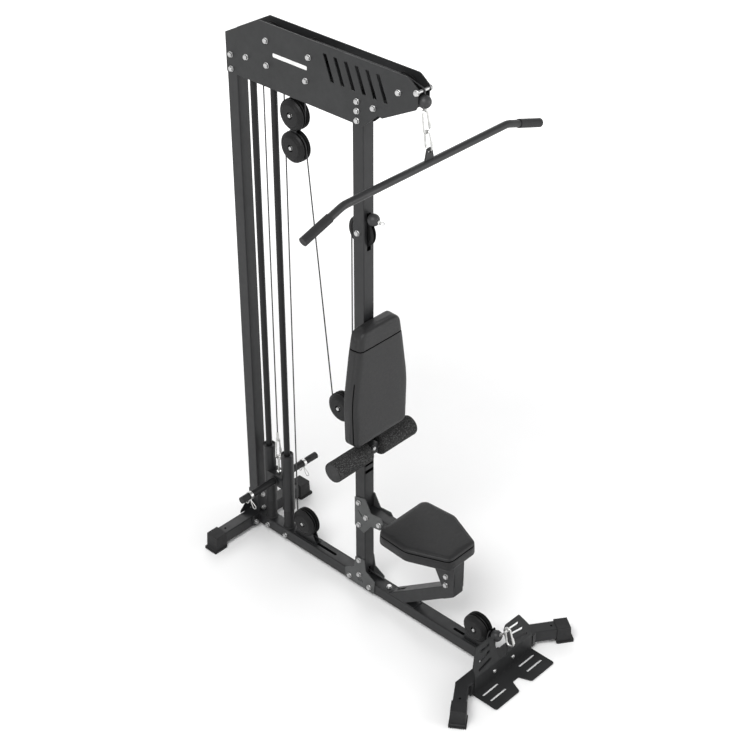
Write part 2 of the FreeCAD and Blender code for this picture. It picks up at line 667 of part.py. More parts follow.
def make_seat_brace():
    brace = brace_solid(TUBE, TUBE_CORNER, 0.0).cut(brace_solid(TUBE - 2 * WALL, TUBE_CORNER - WALL, WALL))
    flange = plate_z(mirrored([(24.0, -104.0), (24.0, -275.0)]), RAIL_Z1, RAIL_Z1 + FLANGE, 4.0)
    brace = fuse([brace, flange])
    brace = brace.cut(box(-6.0, 6.0, -420.0, -150.0, 86.0, 118.0))    # passage of the row cable
    return drilled(brace)


def make_seat_side_plates():
    points = [(-343.0, 398.0), (ARM_FRONT, 398.0), (ARM_FRONT, 262.0), (-421.0, 254.0)]
    return both_sides(lambda x0, x1: drilled(plate_x(points, x0, x1, 3.0)))


def seat_outline():
    return mirrored([(120.0, -186.0), (135.0, -330.0), (70.0, -484.0)])


def make_seat_pad():
    corner = [30.0, 60.0, 26.0, 26.0, 60.0, 30.0]
    return outline([V(x, y, SEAT_BOTTOM) for x, y in seat_outline()], corner).extrude(
        V(0, 0, SEAT_TOP - SEAT_BOTTOM))


def make_back_pad():
    side = [(132.0, 766.0), (138.0, 960.0), (112.0, 1140.0), (94.0, 1238.0)]
    corner = [26.0, 90.0, 90.0, 30.0]
    return plate_y(mirrored(side), PAD_FRONT, PAD_REAR, corner + corner[::-1])


def make_back_pad_bracket():
    plate = box(-19.0, 19.0, PAD_REAR, -HALF, 850.0, 1150.0)
    return plate.makeFillet(4.0, [e for e in plate.Edges if abs(e.tangentAt(e.FirstParameter).y) > 0.9])


# ---- thigh rollers --------------------------------------------------------------------------
def make_roller_holder():
    # a plate in front of the column with a welded boss that carries the roller tube
    front = plate_y(mirrored([(17.0, 669.0), (17.0, 712.0)]), HOLDER_FACE - 4.0, HOLDER_FACE, 5.0)
    boss = rod_x(-17.0, 17.0, ROLLER_Y, ROLLER_Z, 12.2)
    top = box(-17.0, 17.0, HOLDER_FACE, -HALF - 0.5, 702.0, 710.0)
    foot = box(-17.0, 17.0, HOLDER_FACE, -HALF - 0.5, 671.0, 679.0)
    holder = fuse([front, boss, top, foot])
    holder = holder.cut(rod_x(-60, 60, ROLLER_Y, ROLLER_Z, ROLLER_TUBE_R))
    return holder.cut(rod_y(HOLDER_FACE - 6.0, -44.0, HOLDER_BOLT_X, HOLDER_BOLT_Z, 4.0 + HOLE_GAP))


def make_roller_tube():
    tube = rod_x(-ROLLER_OUT + 4.0, ROLLER_OUT - 4.0, ROLLER_Y, ROLLER_Z, ROLLER_TUBE_R)
    return tube.cut(rod_x(-ROLLER_OUT, ROLLER_OUT, ROLLER_Y, ROLLER_Z, ROLLER_TUBE_R - 2.0))


def make_roller_bolt():
    # clamps the roller tube in the holder's boss
    face = HOLDER_FACE - 4.0
    head = hexagon(V(HOLDER_BOLT_X, face, HOLDER_BOLT_Z), V(0, -1, 0), 6.0, 8.0)
    return fuse([head, rod_y(face, -45.0, HOLDER_BOLT_X, HOLDER_BOLT_Z, 4.0)])


def make_foam_roller(side):
    x0 = min(side * ROLLER_IN, side * ROLLER_OUT)
    x1 = max(side * ROLLER_IN, side * ROLLER_OUT)
    foam = rod_x(x0, x1, ROLLER_Y, ROLLER_Z, ROLLER_R)
    foam = foam.makeFillet(4.0, [e for e in foam.Edges if e.Curve.TypeId == "Part::GeomCircle"])
    inner = side * (ROLLER_OUT - 3.9)
    far = side * (ROLLER_IN - 2.0)
    return foam.cut(rod_x(min(inner, far), max(inner, far), ROLLER_Y, ROLLER_Z, ROLLER_TUBE_R + RUN_GAP))


# ---- pulleys ---------------------------------------------------------------------------------
def make_pulley(y, z):
    # a grooved wheel with a dished web and a raised hub
    root = GROOVE_R - CABLE_R - 0.3
    w = PULLEY_HALF
    half = [(AXLE_R + RUN_GAP, w), (15.0, w), (17.0, w - 3.0), (44.0, w - 3.0), (46.5, w - 0.5),
            (PULLEY_R - 0.8, w - 0.5), (PULLEY_R, w - 1.6), (PULLEY_R, w - 2.4), (root, GROOVE_HALF - 0.8)]
    profile = half + [(r, -h) for r, h in reversed(half)]
    return turned(profile, V(0, y, z), V(1, 0, 0))


def pulley_cover(y, z, side):
    # a conical guard disc with a sunk middle for the axle's nut
    depth = COVER_OUT - COVER_IN
    profile = [(AXLE_R + 0.3, 0), (COVER_R - 3.0, 0), (COVER_R, 1.5), (COVER_R, 4.0),
               (COVER_R - 5.0, 8.5), (43.0, depth - 2.2), (42.2, depth - 3.2), (41.4, depth - 2.2),
               (36.0, depth - 0.4), (20.0, depth), (12.6, depth), (12.0, depth - 0.8), (12.0, 9.2),
               (AXLE_R + 0.3, 9.2)]
    return turned(profile, V(side * COVER_IN, y, z), V(side, 0, 0))


def make_pulley_covers():
    places = [(FLOAT_Y, FLOAT_UPPER_Z), (FLOAT_Y, FLOAT_LOWER_Z), (LOW_REAR_Y, LOW_AXLE_Z),
              (LOW_FRONT_Y, LOW_AXLE_Z), (MID_LOWER_Y, MID_LOWER_Z)]
    return group([pulley_cover(y, z, side) for y, z in places for side in (-1, 1)])


def ears(points, radius):
    return [drilled(plate_x(points, -EAR_IN - EAR, -EAR_IN, radius)),
            drilled(plate_x(points, EAR_IN, EAR_IN + EAR, radius))]


def make_rail_pulley_bracket(y):
    points = [(y - 58.0, RAIL_Z1 + FLANGE - 0.5), (y + 56.0, RAIL_Z1 + FLANGE - 0.5),
              (y + 20.0, LOW_AXLE_Z + 20.0), (y - 20.0, LOW_AXLE_Z + 20.0)]
    base = plate_z(mirrored([(20.0, y - 60.0), (20.0, y + 60.0)]), RAIL_Z1, RAIL_Z1 + FLANGE, 5.0)
    base = base.cut(slot_cut(V(0, y - 40.0, RAIL_Z1 - 2), V(0, y + 40.0, RAIL_Z1 - 2), 5.0, V(0, 0, 9)))
    return fuse([base] + ears(points, [2.0, 2.0, 19.0, 19.0]))


def make_mid_pulley_bracket():
    y0 = HALF
    z = MID_LOWER_Z
    base = plate_y(mirrored([(20.0, z - 55.0), (20.0, z + 55.0)]), y0, y0 + FLANGE, 5.0)
    points = [(y0 + FLANGE - 0.5, z - 42.0), (MID_LOWER_Y + 18.0, z - 18.0),
              (MID_LOWER_Y + 18.0, z + 18.0), (y0 + FLANGE - 0.5, z + 42.0)]
    return fuse([base] + ears(points, [2.0, 17.0, 17.0, 2.0]))


def make_float_block_links():
    # two straps that tie the floating pulleys together
    points = [(FLOAT_Y - 14.0, FLOAT_LOWER_Z - 16.0), (FLOAT_Y + 14.0, FLOAT_LOWER_Z - 16.0),
              (FLOAT_Y + 14.0, FLOAT_UPPER_Z + 16.0), (FLOAT_Y - 14.0, FLOAT_UPPER_Z + 16.0)]
    return group(ears(points, 12.0))


# ---- cables ----------------------------------------------------------------------------------
def tangent_angle(first, second):
    # heading of the straight run from one wheel to the next; a wheel is (y, z, signed radius),
    # positive where the cable goes round it from +Y towards +Z
    dy = second[0] - first[0]
    dz = second[1] - first[1]
    return math.atan2(dz, dy) - math.asin((second[2] - first[2]) / math.hypot(dy, dz))


def on_wheel(wheel, heading):
    y = wheel[0] + wheel[2] * math.sin(heading)
    z = wheel[1] - wheel[2] * math.cos(heading)
    return V(0, y, z)


def cable_edges(wheels, start_heading=None, end_heading=None):
    # straight runs between the wheels and an arc of each wheel's own size round it
    headings = [tangent_angle(a, b) for a, b in zip(wheels, wheels[1:])]
    edges = []
    for i, wheel in enumerate(wheels):
        come = headings[i - 1] if i > 0 else start_heading
        leave = headings[i] if i < len(headings) else end_heading
        if wheel[2] != 0:
            sweep = (leave - come) % (2 * math.pi)
            if wheel[2] < 0:
                sweep -= 2 * math.pi
            arc = Part.Arc(on_wheel(wheel, come), on_wheel(wheel, come + sweep / 2),
                           on_wheel(wheel, come + sweep))
            edges.append(arc.toShape())
        if i < len(headings):
            run = Part.LineSegment(on_wheel(wheel, headings[i]), on_wheel(wheels[i + 1], headings[i]))
            edges.append(run.toShape())
    return edges


def cable(edges, name):
    length = sum(edge.Length for edge in edges)
    tube = wire_sweep(edges, CABLE_R)
    ratio = tube.Volume / (math.pi * CABLE_R ** 2 * length)
    print("%s: length %.0f mm, volume over section times length %.4f" % (name, length, ratio))
    return tube


def make_header_cable():
    wheels = [(HEADER_REAR_Y, HEADER_AXLE_Z, GROOVE_R), (FLOAT_Y, FLOAT_UPPER_Z, -GROOVE_R),
              (HEADER_MID_Y, HEADER_AXLE_Z, GROOVE_R), (HEADER_FRONT_Y, HEADER_AXLE_Z, GROOVE_R),
              (CROSS_ROD_Y, CROSS_ROD_Z, CROSS_ROD_R + CABLE_R + 0.3)]
    return cable(cable_edges(wheels, math.pi / 2, 3 * math.pi / 2), "header cable")


def make_row_cable():
    wheels = [(LOW_BALL[0], LOW_BALL[1], 0), (LOW_FRONT_Y, LOW_AXLE_Z, GROOVE_R),
              (LOW_REAR_Y, LOW_AXLE_Z, GROOVE_R), (FLOAT_Y, FLOAT_LOWER_Z, GROOVE_R),
              (MID_LOWER_Y, MID_LOWER_Z, -GROOVE_R), (COLUMN_PULLEY_Y, COLUMN_PULLEY_Z, GROOVE_R),
              (MID_BALL[0], MID_BALL[1], 0)]
    return cable(cable_edges(wheels), "row cable")


def make_lift_cable():
    top = V(0, LIFT_Y, HEADER_AXLE_Z)
    return cable([Part.LineSegment(V(0, LIFT_Y, LIFT_FERRULE_Z), top).toShape()], "lift cable")


def make_drop_cable():
    low = V(0, LAT_Y - 0.3, LAT_BALL_Z + BALL_R - 1.0)
    return cable([Part.LineSegment(low, V(0, LAT_Y - 0.3, CROSS_ROD_Z)).toShape()], "drop cable")


# ---- hooks, rings and balls --------------------------------------------------------------------
def pear_link(bottom, top, across, wide, narrow, wire):
    # a closed spring hook: a pear of round bar between two points
    along = top.sub(bottom).normalize()
    side = V(across).normalize()
    low = bottom.add(V(along).multiply(wire))
    high = top.sub(V(along).multiply(wire))
    corners = [low.add(V(side).multiply(-wide / 2)), low.add(V(side).multiply(wide / 2)),
               high.add(V(side).multiply(narrow / 2)), high.sub(V(side).multiply(narrow / 2))]
    r0 = wide / 2 * 0.86
    r1 = narrow / 2 * 0.9
    hook = ring_sweep(corners, [r0, r0, r1, r1], wire)
    gate_low = low.add(V(side).multiply(wide / 2)).add(V(along).multiply(wide * 0.45))
    gate_way = high.add(V(side).multiply(narrow / 2)).sub(low.add(V(side).multiply(wide / 2))).normalize()
    sleeve = rod(gate_low, gate_low.add(V(gate_way).multiply(wide * 0.62)), wire * 1.55)
    return fuse([hook, sleeve])


def ball(y, z, along):
    # rubber ball stop, bored to its centre from the side that the cable comes from
    centre = V(0, y, z)
    sphere = Part.makeSphere(BALL_R, centre)
    return sphere.cut(rod(centre, centre.add(V(along).multiply(BALL_R + 1)), CABLE_R + 0.4))


def end_eye(y, z, away, radius, wire):
    # crimped sleeve and eye that come out of a ball stop on the side away from the cable
    centre = V(0, y, z)
    sleeve = rod(centre, centre.add(V(away).multiply(BALL_R + 1.5)), 4.5)
    loop = Part.makeTorus(radius, wire, centre.add(V(away).multiply(eye_reach(radius, wire))), V(1, 0, 0))
    return fuse([sleeve, loop]).cut(Part.makeSphere(BALL_R + 0.02, centre))


def eye_reach(radius, wire):
    # distance from a ball's centre to the centre of its eye
    return BALL_R + radius - wire + 0.5


EYE_R = 6.5
EYE_WIRE = 1.8
LINK_WIRE = 3.6


def in_eye(y, z, away, wire):
    # centre of a round bar that is pulled against the far side of the eye
    return V(0, y, z).add(V(away).multiply(eye_reach(EYE_R, EYE_WIRE) + EYE_R - EYE_WIRE - wire - 0.05))


def make_lat_ball_stop():
    return ball(LAT_Y, LAT_BALL_Z, V(0, 0, 1))


LAT_LINK_MID = 2030.0
LAT_HOLE_Z = 1970.0


def make_lat_hooks():
    # two hooks in line from the eye under the ball to the hole in the bar's tab
    top = in_eye(LAT_Y, LAT_BALL_Z, V(0, 0, -1), LINK_WIRE)
    hole = V(0, BAR_Y, LAT_HOLE_Z)
    along = top.sub(hole).normalize()
    middle = hole.add(V(along).multiply((LAT_LINK_MID - hole.z) / along.z))
    grow = V(along).multiply(LINK_WIRE)
    cross = V(along).multiply(LINK_WIRE + 0.1)
    upper = pear_link(middle.sub(cross).sub(grow), top.add(grow), V(1, 0, 0), 30.0, 20.0, LINK_WIRE)
    sideways = V(1, 0, 0).cross(along)
    lower = pear_link(hole.sub(grow), middle.add(cross).add(grow), sideways, 30.0, 20.0, LINK_WIRE)
    return group([end_eye(LAT_Y, LAT_BALL_Z, V(0, 0, -1), EYE_R, EYE_WIRE), upper, lower])


def row_headings():
    # headings of the row cable where it leaves the low ball and where it reaches the other one
    first = tangent_angle((LOW_BALL[0], LOW_BALL[1], 0), (LOW_FRONT_Y, LOW_AXLE_Z, GROOVE_R))
    last = tangent_angle((COLUMN_PULLEY_Y, COLUMN_PULLEY_Z, GROOVE_R), (MID_BALL[0], MID_BALL[1], 0))
    return V(0, math.cos(first), math.sin(first)), V(0, math.cos(last), math.sin(last))


def make_row_ball_stops():
    first, last = row_headings()
    low = ball(LOW_BALL[0], LOW_BALL[1], first)
    mid = ball(MID_BALL[0], MID_BALL[1], V(last).multiply(-1))
    return group([low, mid])


LOW_HOOK_TOP = V(0, -705.0, 216.0)
LOW_HOOK_END = V(0, -722.0, 146.0)


def make_row_end_hooks():
    y, z = LOW_BALL
    away = V(0, -0.8, 0.6)
    near = in_eye(y, z, away, LINK_WIRE)
    along = LOW_HOOK_TOP.sub(near).normalize()
    grow = V(along).multiply(LINK_WIRE)
    first = pear_link(near.sub(grow), LOW_HOOK_TOP.add(grow), V(1, 0, 0), 26.0, 20.0, LINK_WIRE)
    hang = LOW_HOOK_TOP.sub(LOW_HOOK_END).normalize()
    end = LOW_HOOK_TOP.add(V(hang).multiply(3 * LINK_WIRE + 0.3))
    second = pear_link(LOW_HOOK_END, end, V(1, 0, 0).cross(hang), 34.0, 22.0, LINK_WIRE)
    my, mz = MID_BALL
    ring_at = in_eye(my, mz, V(0, -1, 0), 1.6).add(V(0, -8.8, 0))
    ring = Part.makeTorus(9.0, 1.6, ring_at, V(0, 0, 1))
    return group([end_eye(y, z, away, EYE_R, EYE_WIRE), first, second,
                  end_eye(my, mz, V(0, -1, 0), EYE_R, EYE_WIRE), ring])


# ---- carriage ----------------------------------------------------------------------------------
def make_carriage_sleeves():
    tubes = []
    for y in (ROD_REAR_Y, ROD_FRONT_Y):
        tube = rod_z(SLEEVE_Z0, SLEEVE_Z1, 0, y, SLEEVE_R)
        tubes.append(tube.cut(rod_z(SLEEVE_Z0 - 1, SLEEVE_Z1 + 1, 0, y, SLEEVE_BORE_R)))
    return group(tubes)


def make_sleeve_bushings():
    rings = []
    for y in (ROD_REAR_Y, ROD_FRONT_Y):
        for z0, z1 in ((SLEEVE_Z0 + 3.0, SLEEVE_Z0 + 33.0), (SLEEVE_Z1 - 37.0, SLEEVE_Z1 - 5.0)):
            ring = rod_z(z0, z1, 0, y, SLEEVE_BORE_R)
            rings.append(ring.cut(rod_z(z0 - 1, z1 + 1, 0, y, ROD_R + RUN_GAP)))
    return group(rings)


def make_carriage_block():
    block = box(-HALF, HALF, ROD_FRONT_Y + 8.0, ROD_REAR_Y - 8.0, HORN_Z - 24.0, HORN_Z + 26.0)
    for y in (ROD_REAR_Y, ROD_FRONT_Y):
        block = block.cut(rod_z(SLEEVE_Z0, SLEEVE_Z1, 0, y, SLEEVE_R))
    block = block.cut(rod_x(-60, 60, LIFT_Y, HORN_Z, HORN_R))
    return block


def make_weight_horn():
    bar = rod_x(-HORN_HALF + 3.0, HORN_HALF - 3.0, LIFT_Y, HORN_Z, HORN_R)
    for side in (-1, 1):
        tip = side * (HORN_HALF - 3.0)
        at = side * HORN_CAP_X
        ring = rod_x(min(tip, at), max(tip, at), LIFT_Y, HORN_Z, HORN_R + 1)
        bar = bar.cut(ring.cut(rod_x(min(tip, at) - 1, max(tip, at) + 1, LIFT_Y, HORN_Z, HORN_R - 2.5)))
    collars = [rod_x(-HALF - 4.0, -HALF, LIFT_Y, HORN_Z, 21.0), rod_x(HALF, HALF + 4.0, LIFT_Y, HORN_Z, 21.0)]
    return fuse([bar] + collars)


def make_horn_caps():
    caps = []
    for side in (-1, 1):
        outer = rod_x(min(side * HORN_CAP_X, side * HORN_HALF), max(side * HORN_CAP_X, side * HORN_HALF),
                      LIFT_Y, HORN_Z, HORN_R)
        inner = side * (HORN_HALF - 3.0)
        core = rod_x(min(side * (HORN_CAP_X - 2), inner), max(side * (HORN_CAP_X - 2), inner),
                     LIFT_Y, HORN_Z, HORN_R - 2.5)
        caps.append(outer.cut(core))
    return group(caps)


def make_lift_hardware():
    # eye bolt on the carriage, spring hook and the crimped end of the cable
    top = HORN_Z + 26.0
    z_ring = 384.0
    shank = rod_z(top, z_ring - 8.0, 0, LIFT_Y, 4.0)
    seat = hexagon(V(0, LIFT_Y, top), V(0, 0, 1), 7.0)
    ring = Part.makeTorus(9.0, 3.2, V(0, LIFT_Y, z_ring), V(1, 0, 0))
    eye_bolt = fuse([shank, seat, ring])
    hook = pear_link(V(0, LIFT_Y, z_ring - 1.1), V(0, LIFT_Y, 473.4), V(0.98, 0.2, 0), 34.0, 20.0, 3.4)
    eye = Part.makeTorus(7.0, 2.2, V(0, LIFT_Y, 471.5), V(1, 0, 0))
    crimp = rod_z(477.5, LIFT_FERRULE_Z, 0, LIFT_Y, 5.0)
    return group([eye_bolt, hook, fuse([eye, crimp])])


def make_spring_collar(x):
    # a flat steel band round the horn with two wire loops to squeeze
    band = rod_x(x - 6.0, x + 6.0, LIFT_Y, HORN_Z, HORN_R + 2.6)
    band = band.cut(rod_x(x - 7.0, x + 7.0, LIFT_Y, HORN_Z, HORN_R + 0.1))
    solids = [band]
    for side, offset in ((-1, -3.0), (1, 3.0)):
        root = V(x + offset, LIFT_Y + side * 1.5, HORN_Z - HORN_R + 1.0)
        low = root.add(V(0, side * 28.0, -36.0))
        across = V(0, 36.0, side * 28.0).normalize().multiply(12.0)
        solids.append(ring_sweep([root, low.add(across), low.sub(across)], [1.2, 9.0, 9.0], 1.5))
    return fuse(solids)


# ---- lat bar -------------------------------------------------------------------------------------
def bar_points():
    return [V(-BAR_END_X, BAR_Y, BAR_END_Z), V(-BAR_BEND_X, BAR_Y, BAR_Z), V(BAR_BEND_X, BAR_Y, BAR_Z),
            V(BAR_END_X, BAR_Y, BAR_END_Z)]


def bar_way(side):
    return V(side * (BAR_END_X - BAR_BEND_X), 0, BAR_END_Z - BAR_Z).normalize()


def make_lat_bar():
    edges = run_edges(bar_points(), [0, 90.0, 90.0, 0], False)
    return wire_sweep(edges, BAR_R).cut(wire_sweep(edges, BAR_R - 3.0))


def make_lat_bar_grips():
    grips = []
    for side in (-1, 1):
        way = bar_way(side)
        end = V(side * BAR_END_X, BAR_Y, BAR_END_Z)
        start = end.sub(V(way).multiply(GRIP_LENGTH))
        cap = end.add(V(way).multiply(4.0))
        sleeve = rod(start, cap, GRIP_R).cut(rod(start, end, BAR_R))
        grips.append(sleeve)
    return group(grips)


def make_lat_bar_tab():
    # a flat tapered eye welded along the top of the bar
    low = BAR_Z + BAR_R - 4.0
    points = mirrored([(21.0, low), (11.0, LAT_HOLE_Z + 9.0)])
    tab = plate_y(points, BAR_Y - 3.0, BAR_Y + 3.0, [1.0, 10.0, 10.0, 1.0])
    tab = tab.cut(rod_y(BAR_Y - 10, BAR_Y + 10, 0, LAT_HOLE_Z - 2.2, 6.4))
    return tab.cut(rod_x(-60, 60, BAR_Y, BAR_Z, BAR_R))


# ---- export ---------------------------------------------------------------------------------------
def export(name, shape):
    shape.translate(V(0, COLUMN_Y, 0))
    shape.exportStep("parts/%s.step" % name)
    valid = shape.isValid()
    print("%-26s %3d solids  %9.1f cm3%s" % (name, len(shape.Solids), shape.Volume / 1000,
                                            "" if valid else "  NOT VALID"))


def main():
    os.makedirs("parts", exist_ok=True)
    export("base_rail", make_base_rail())
    export("rear_foot_bar", make_rear_foot_bar())
    export("front_foot_bar", make_front_foot_bar())
    export("rear_foot_caps", make_rear_foot_caps())
    export("front_foot_caps", make_front_foot_caps())
    export("foot_plate", make_foot_plate())
    export("rear_post", make_rear_post())
    export("front_column", make_front_column())
    export("header_plate_left", make_header_plate(-1))
    export("header_plate_right", make_header_plate(1))
    export("header_spacers", make_header_spacers())
    export("guide_rods", make_guide_rods())
    export("rod_bumpers", make_rod_bumpers())
    export("upper_star_plates", make_upper_star_plates())
    export("lower_star_plates", make_lower_star_plates())
    export("fasteners", make_fasteners())
    export("seat_arm", make_seat_arm())
    export("seat_brace", make_seat_brace())
    export("seat_side_plates", make_seat_side_plates())
    export("seat_pad", make_seat_pad())
    export("back_pad", make_back_pad())
    export("back_pad_bracket", make_back_pad_bracket())
    export("roller_holder", make_roller_holder())
    export("roller_tube", make_roller_tube())
    export("roller_bolt", make_roller_bolt())
    export("foam_roller_left", make_foam_roller(-1))
    export("foam_roller_right", make_foam_roller(1))
    export("header_rear_pulley", make_pulley(HEADER_REAR_Y, HEADER_AXLE_Z))
    export("header_mid_pulley", make_pulley(HEADER_MID_Y, HEADER_AXLE_Z))
    export("header_front_pulley", make_pulley(HEADER_FRONT_Y, HEADER_AXLE_Z))
    export("float_upper_pulley", make_pulley(FLOAT_Y, FLOAT_UPPER_Z))
    export("float_lower_pulley", make_pulley(FLOAT_Y, FLOAT_LOWER_Z))
    export("low_rear_pulley", make_pulley(LOW_REAR_Y, LOW_AXLE_Z))
    export("low_front_pulley", make_pulley(LOW_FRONT_Y, LOW_AXLE_Z))
    export("mid_lower_pulley", make_pulley(MID_LOWER_Y, MID_LOWER_Z))
    export("column_pulley", make_pulley(COLUMN_PULLEY_Y, COLUMN_PULLEY_Z))
    export("pulley_covers", make_pulley_covers())
    export("low_rear_bracket", make_rail_pulley_bracket(LOW_REAR_Y))
    export("low_front_bracket", make_rail_pulley_bracket(LOW_FRONT_Y))
    export("mid_lower_bracket", make_mid_pulley_bracket())
    export("float_block_links", make_float_block_links())
    export("header_cable", make_header_cable())
    export("row_cable", make_row_cable())
    export("lift_cable", make_lift_cable())
    export("drop_cable", make_drop_cable())
    export("lat_ball_stop", make_lat_ball_stop())
    export("lat_hooks", make_lat_hooks())
    export("row_ball_stops", make_row_ball_stops())
    export("row_end_hooks", make_row_end_hooks())
    export("carriage_sleeves", make_carriage_sleeves())
    export("sleeve_bushings", make_sleeve_bushings())
    export("carriage_block", make_carriage_block())
    export("weight_horn", make_weight_horn())
    export("horn_caps", make_horn_caps())
    export("lift_hardware", make_lift_hardware())
    export("spring_collar_left", make_spring_collar(COLLAR_LEFT_X))
    export("spring_collar_right", make_spring_collar(COLLAR_RIGHT_X))
    export("lat_bar", make_lat_bar())
    export("lat_bar_grips", make_lat_bar_grips())
    export("lat_bar_tab", make_lat_bar_tab())


main()
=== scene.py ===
import math
import bpy
import bmesh
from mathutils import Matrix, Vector, kdtree, noise


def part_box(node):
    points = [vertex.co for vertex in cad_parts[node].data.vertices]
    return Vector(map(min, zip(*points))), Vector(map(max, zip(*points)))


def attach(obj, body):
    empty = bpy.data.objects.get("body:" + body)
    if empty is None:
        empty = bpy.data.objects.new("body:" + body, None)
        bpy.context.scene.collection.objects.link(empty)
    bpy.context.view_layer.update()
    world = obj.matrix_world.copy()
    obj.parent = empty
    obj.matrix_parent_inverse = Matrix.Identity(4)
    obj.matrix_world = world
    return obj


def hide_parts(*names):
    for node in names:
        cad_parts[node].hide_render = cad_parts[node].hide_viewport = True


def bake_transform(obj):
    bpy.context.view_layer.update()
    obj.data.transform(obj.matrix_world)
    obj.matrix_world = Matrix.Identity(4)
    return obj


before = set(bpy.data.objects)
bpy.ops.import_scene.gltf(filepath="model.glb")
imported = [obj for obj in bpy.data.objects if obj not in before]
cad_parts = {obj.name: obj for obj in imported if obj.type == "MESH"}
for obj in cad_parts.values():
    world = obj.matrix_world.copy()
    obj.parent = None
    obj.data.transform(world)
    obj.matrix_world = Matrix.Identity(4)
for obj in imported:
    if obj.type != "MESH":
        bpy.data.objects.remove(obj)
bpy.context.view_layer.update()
scene = bpy.context.scene
scene.view_settings.view_transform = "Standard"
COLUMN_Y = 0.08775          # the front column's centre line in the row frame
SEAM_WIDTH = 0.0030         # half the width of the shaded line along a pad's seam
ABOVE_ALL = 10.0            # a height above the whole object: the seam runs all the way up


# ---- materials ------------------------------------------------------------------------------
class Shader:
    """A node material with short calls for the nodes this file uses."""

    def __init__(self, name):
        self.mat = bpy.data.materials.new(name)
        self.mat.use_nodes = True
        self.tree = self.mat.node_tree
        self.bsdf = self.tree.nodes["Principled BSDF"]
        self.coord = self.tree.nodes.new("ShaderNodeTexCoord").outputs["Object"]

    def node(self, kind, **values):
        made = self.tree.nodes.new(kind)
        for key, value in values.items():
            setattr(made, key, value)
        return made

    def link(self, a, b):
        self.tree.links.new(a, b)

    def noise(self, scale, detail=2.0, roughness=0.5):
        tex = self.node("ShaderNodeTexNoise")
        tex.inputs["Scale"].default_value = scale
        tex.inputs["Detail"].default_value = detail
        tex.inputs["Roughness"].default_value = roughness
        self.link(self.coord, tex.inputs["Vector"])
        return tex.outputs["Fac"]

    def cells(self, scale, feature="F1"):
        tex = self.node("ShaderNodeTexVoronoi", feature=feature)
        tex.inputs["Scale"].default_value = scale
        self.link(self.coord, tex.inputs["Vector"])
        return tex.outputs["Distance"]

    def ramp(self, source, stops):
        made = self.node("ShaderNodeValToRGB")
        ramp = made.color_ramp
        ramp.elements[0].position = stops[0][0]
        ramp.elements[0].color = grey(stops[0][1])
        ramp.elements[1].position = stops[-1][0]
        ramp.elements[1].color = grey(stops[-1][1])
        for at, value in stops[1:-1]:
            ramp.elements.new(at).color = grey(value)
        self.link(source, made.inputs["Fac"])
        return made.outputs["Color"]

    def mix(self, factor, a, b):
        made = self.node("ShaderNodeMix", data_type="RGBA")
        for socket, value in ((made.inputs["Factor"], factor), (made.inputs["A"], a), (made.inputs["B"], b)):
            if hasattr(value, "is_output"):
                self.link(value, socket)
            else:
                socket.default_value = value
        return made.outputs["Result"]

    def calc(self, operation, a, b=0.0):
        # one step of arithmetic on sockets or numbers
        made = self.node("ShaderNodeMath", operation=operation)
        for socket, value in ((made.inputs[0], a), (made.inputs[1], b)):
            if hasattr(value, "is_output"):
                self.link(value, socket)
            else:
                socket.default_value = value
        return made.outputs["Value"]

    def bump(self, height, strength, distance, normal=None):
        made = self.node("ShaderNodeBump")
        made.inputs["Strength"].default_value = strength
        made.inputs["Distance"].default_value = distance
        self.link(height, made.inputs["Height"])
        if normal is not None:
            self.link(normal, made.inputs["Normal"])
        return made.outputs["Normal"]

    def soft_edge(self, radius):
        made = self.node("ShaderNodeBevel", samples=4)
        made.inputs["Radius"].default_value = radius
        return made.outputs["Normal"]

    def edge_mask(self, rounded, gain):
        # 0 on a flat face and rising towards 1 along its edges
        flat = self.node("ShaderNodeNewGeometry").outputs["Normal"]
        dot = self.node("ShaderNodeVectorMath", operation="DOT_PRODUCT")
        self.link(rounded, dot.inputs[0])
        self.link(flat, dot.inputs[1])
        mask = self.node("ShaderNodeMath", operation="MULTIPLY_ADD", use_clamp=True)
        mask.inputs[1].default_value = -gain
        mask.inputs[2].default_value = gain
        self.link(dot.outputs["Value"], mask.inputs[0])
        return mask.outputs["Value"]

    def seam(self, axis, at, top):
        # 0 along the plane of a stitched seam and 1 away from it; above the height top there is no seam
        split = self.node("ShaderNodeSeparateXYZ")
        self.link(self.coord, split.inputs["Vector"])
        away = self.calc("ABSOLUTE", self.calc("SUBTRACT", split.outputs[axis], at))
        line = self.node("ShaderNodeMapRange", interpolation_type="SMOOTHSTEP")
        line.inputs["From Min"].default_value = SEAM_WIDTH * 0.3
        line.inputs["From Max"].default_value = SEAM_WIDTH
        self.link(away, line.inputs["Value"])
        above = self.calc("GREATER_THAN", split.outputs["Z"], top)
        return self.calc("MAXIMUM", above, line.outputs["Result"])

    def set(self, **values):
        for key, value in values.items():
            socket = self.bsdf.inputs[key.replace("_", " ")]
            if hasattr(value, "is_output"):
                self.link(value, socket)
            else:
                socket.default_value = value
        return self.mat


def grey(value):
    if isinstance(value, (int, float)):
        return (value, value, value, 1.0)
    return (*value, 1.0)


def scaled(colour, factor):
    return tuple(c * factor for c in colour)


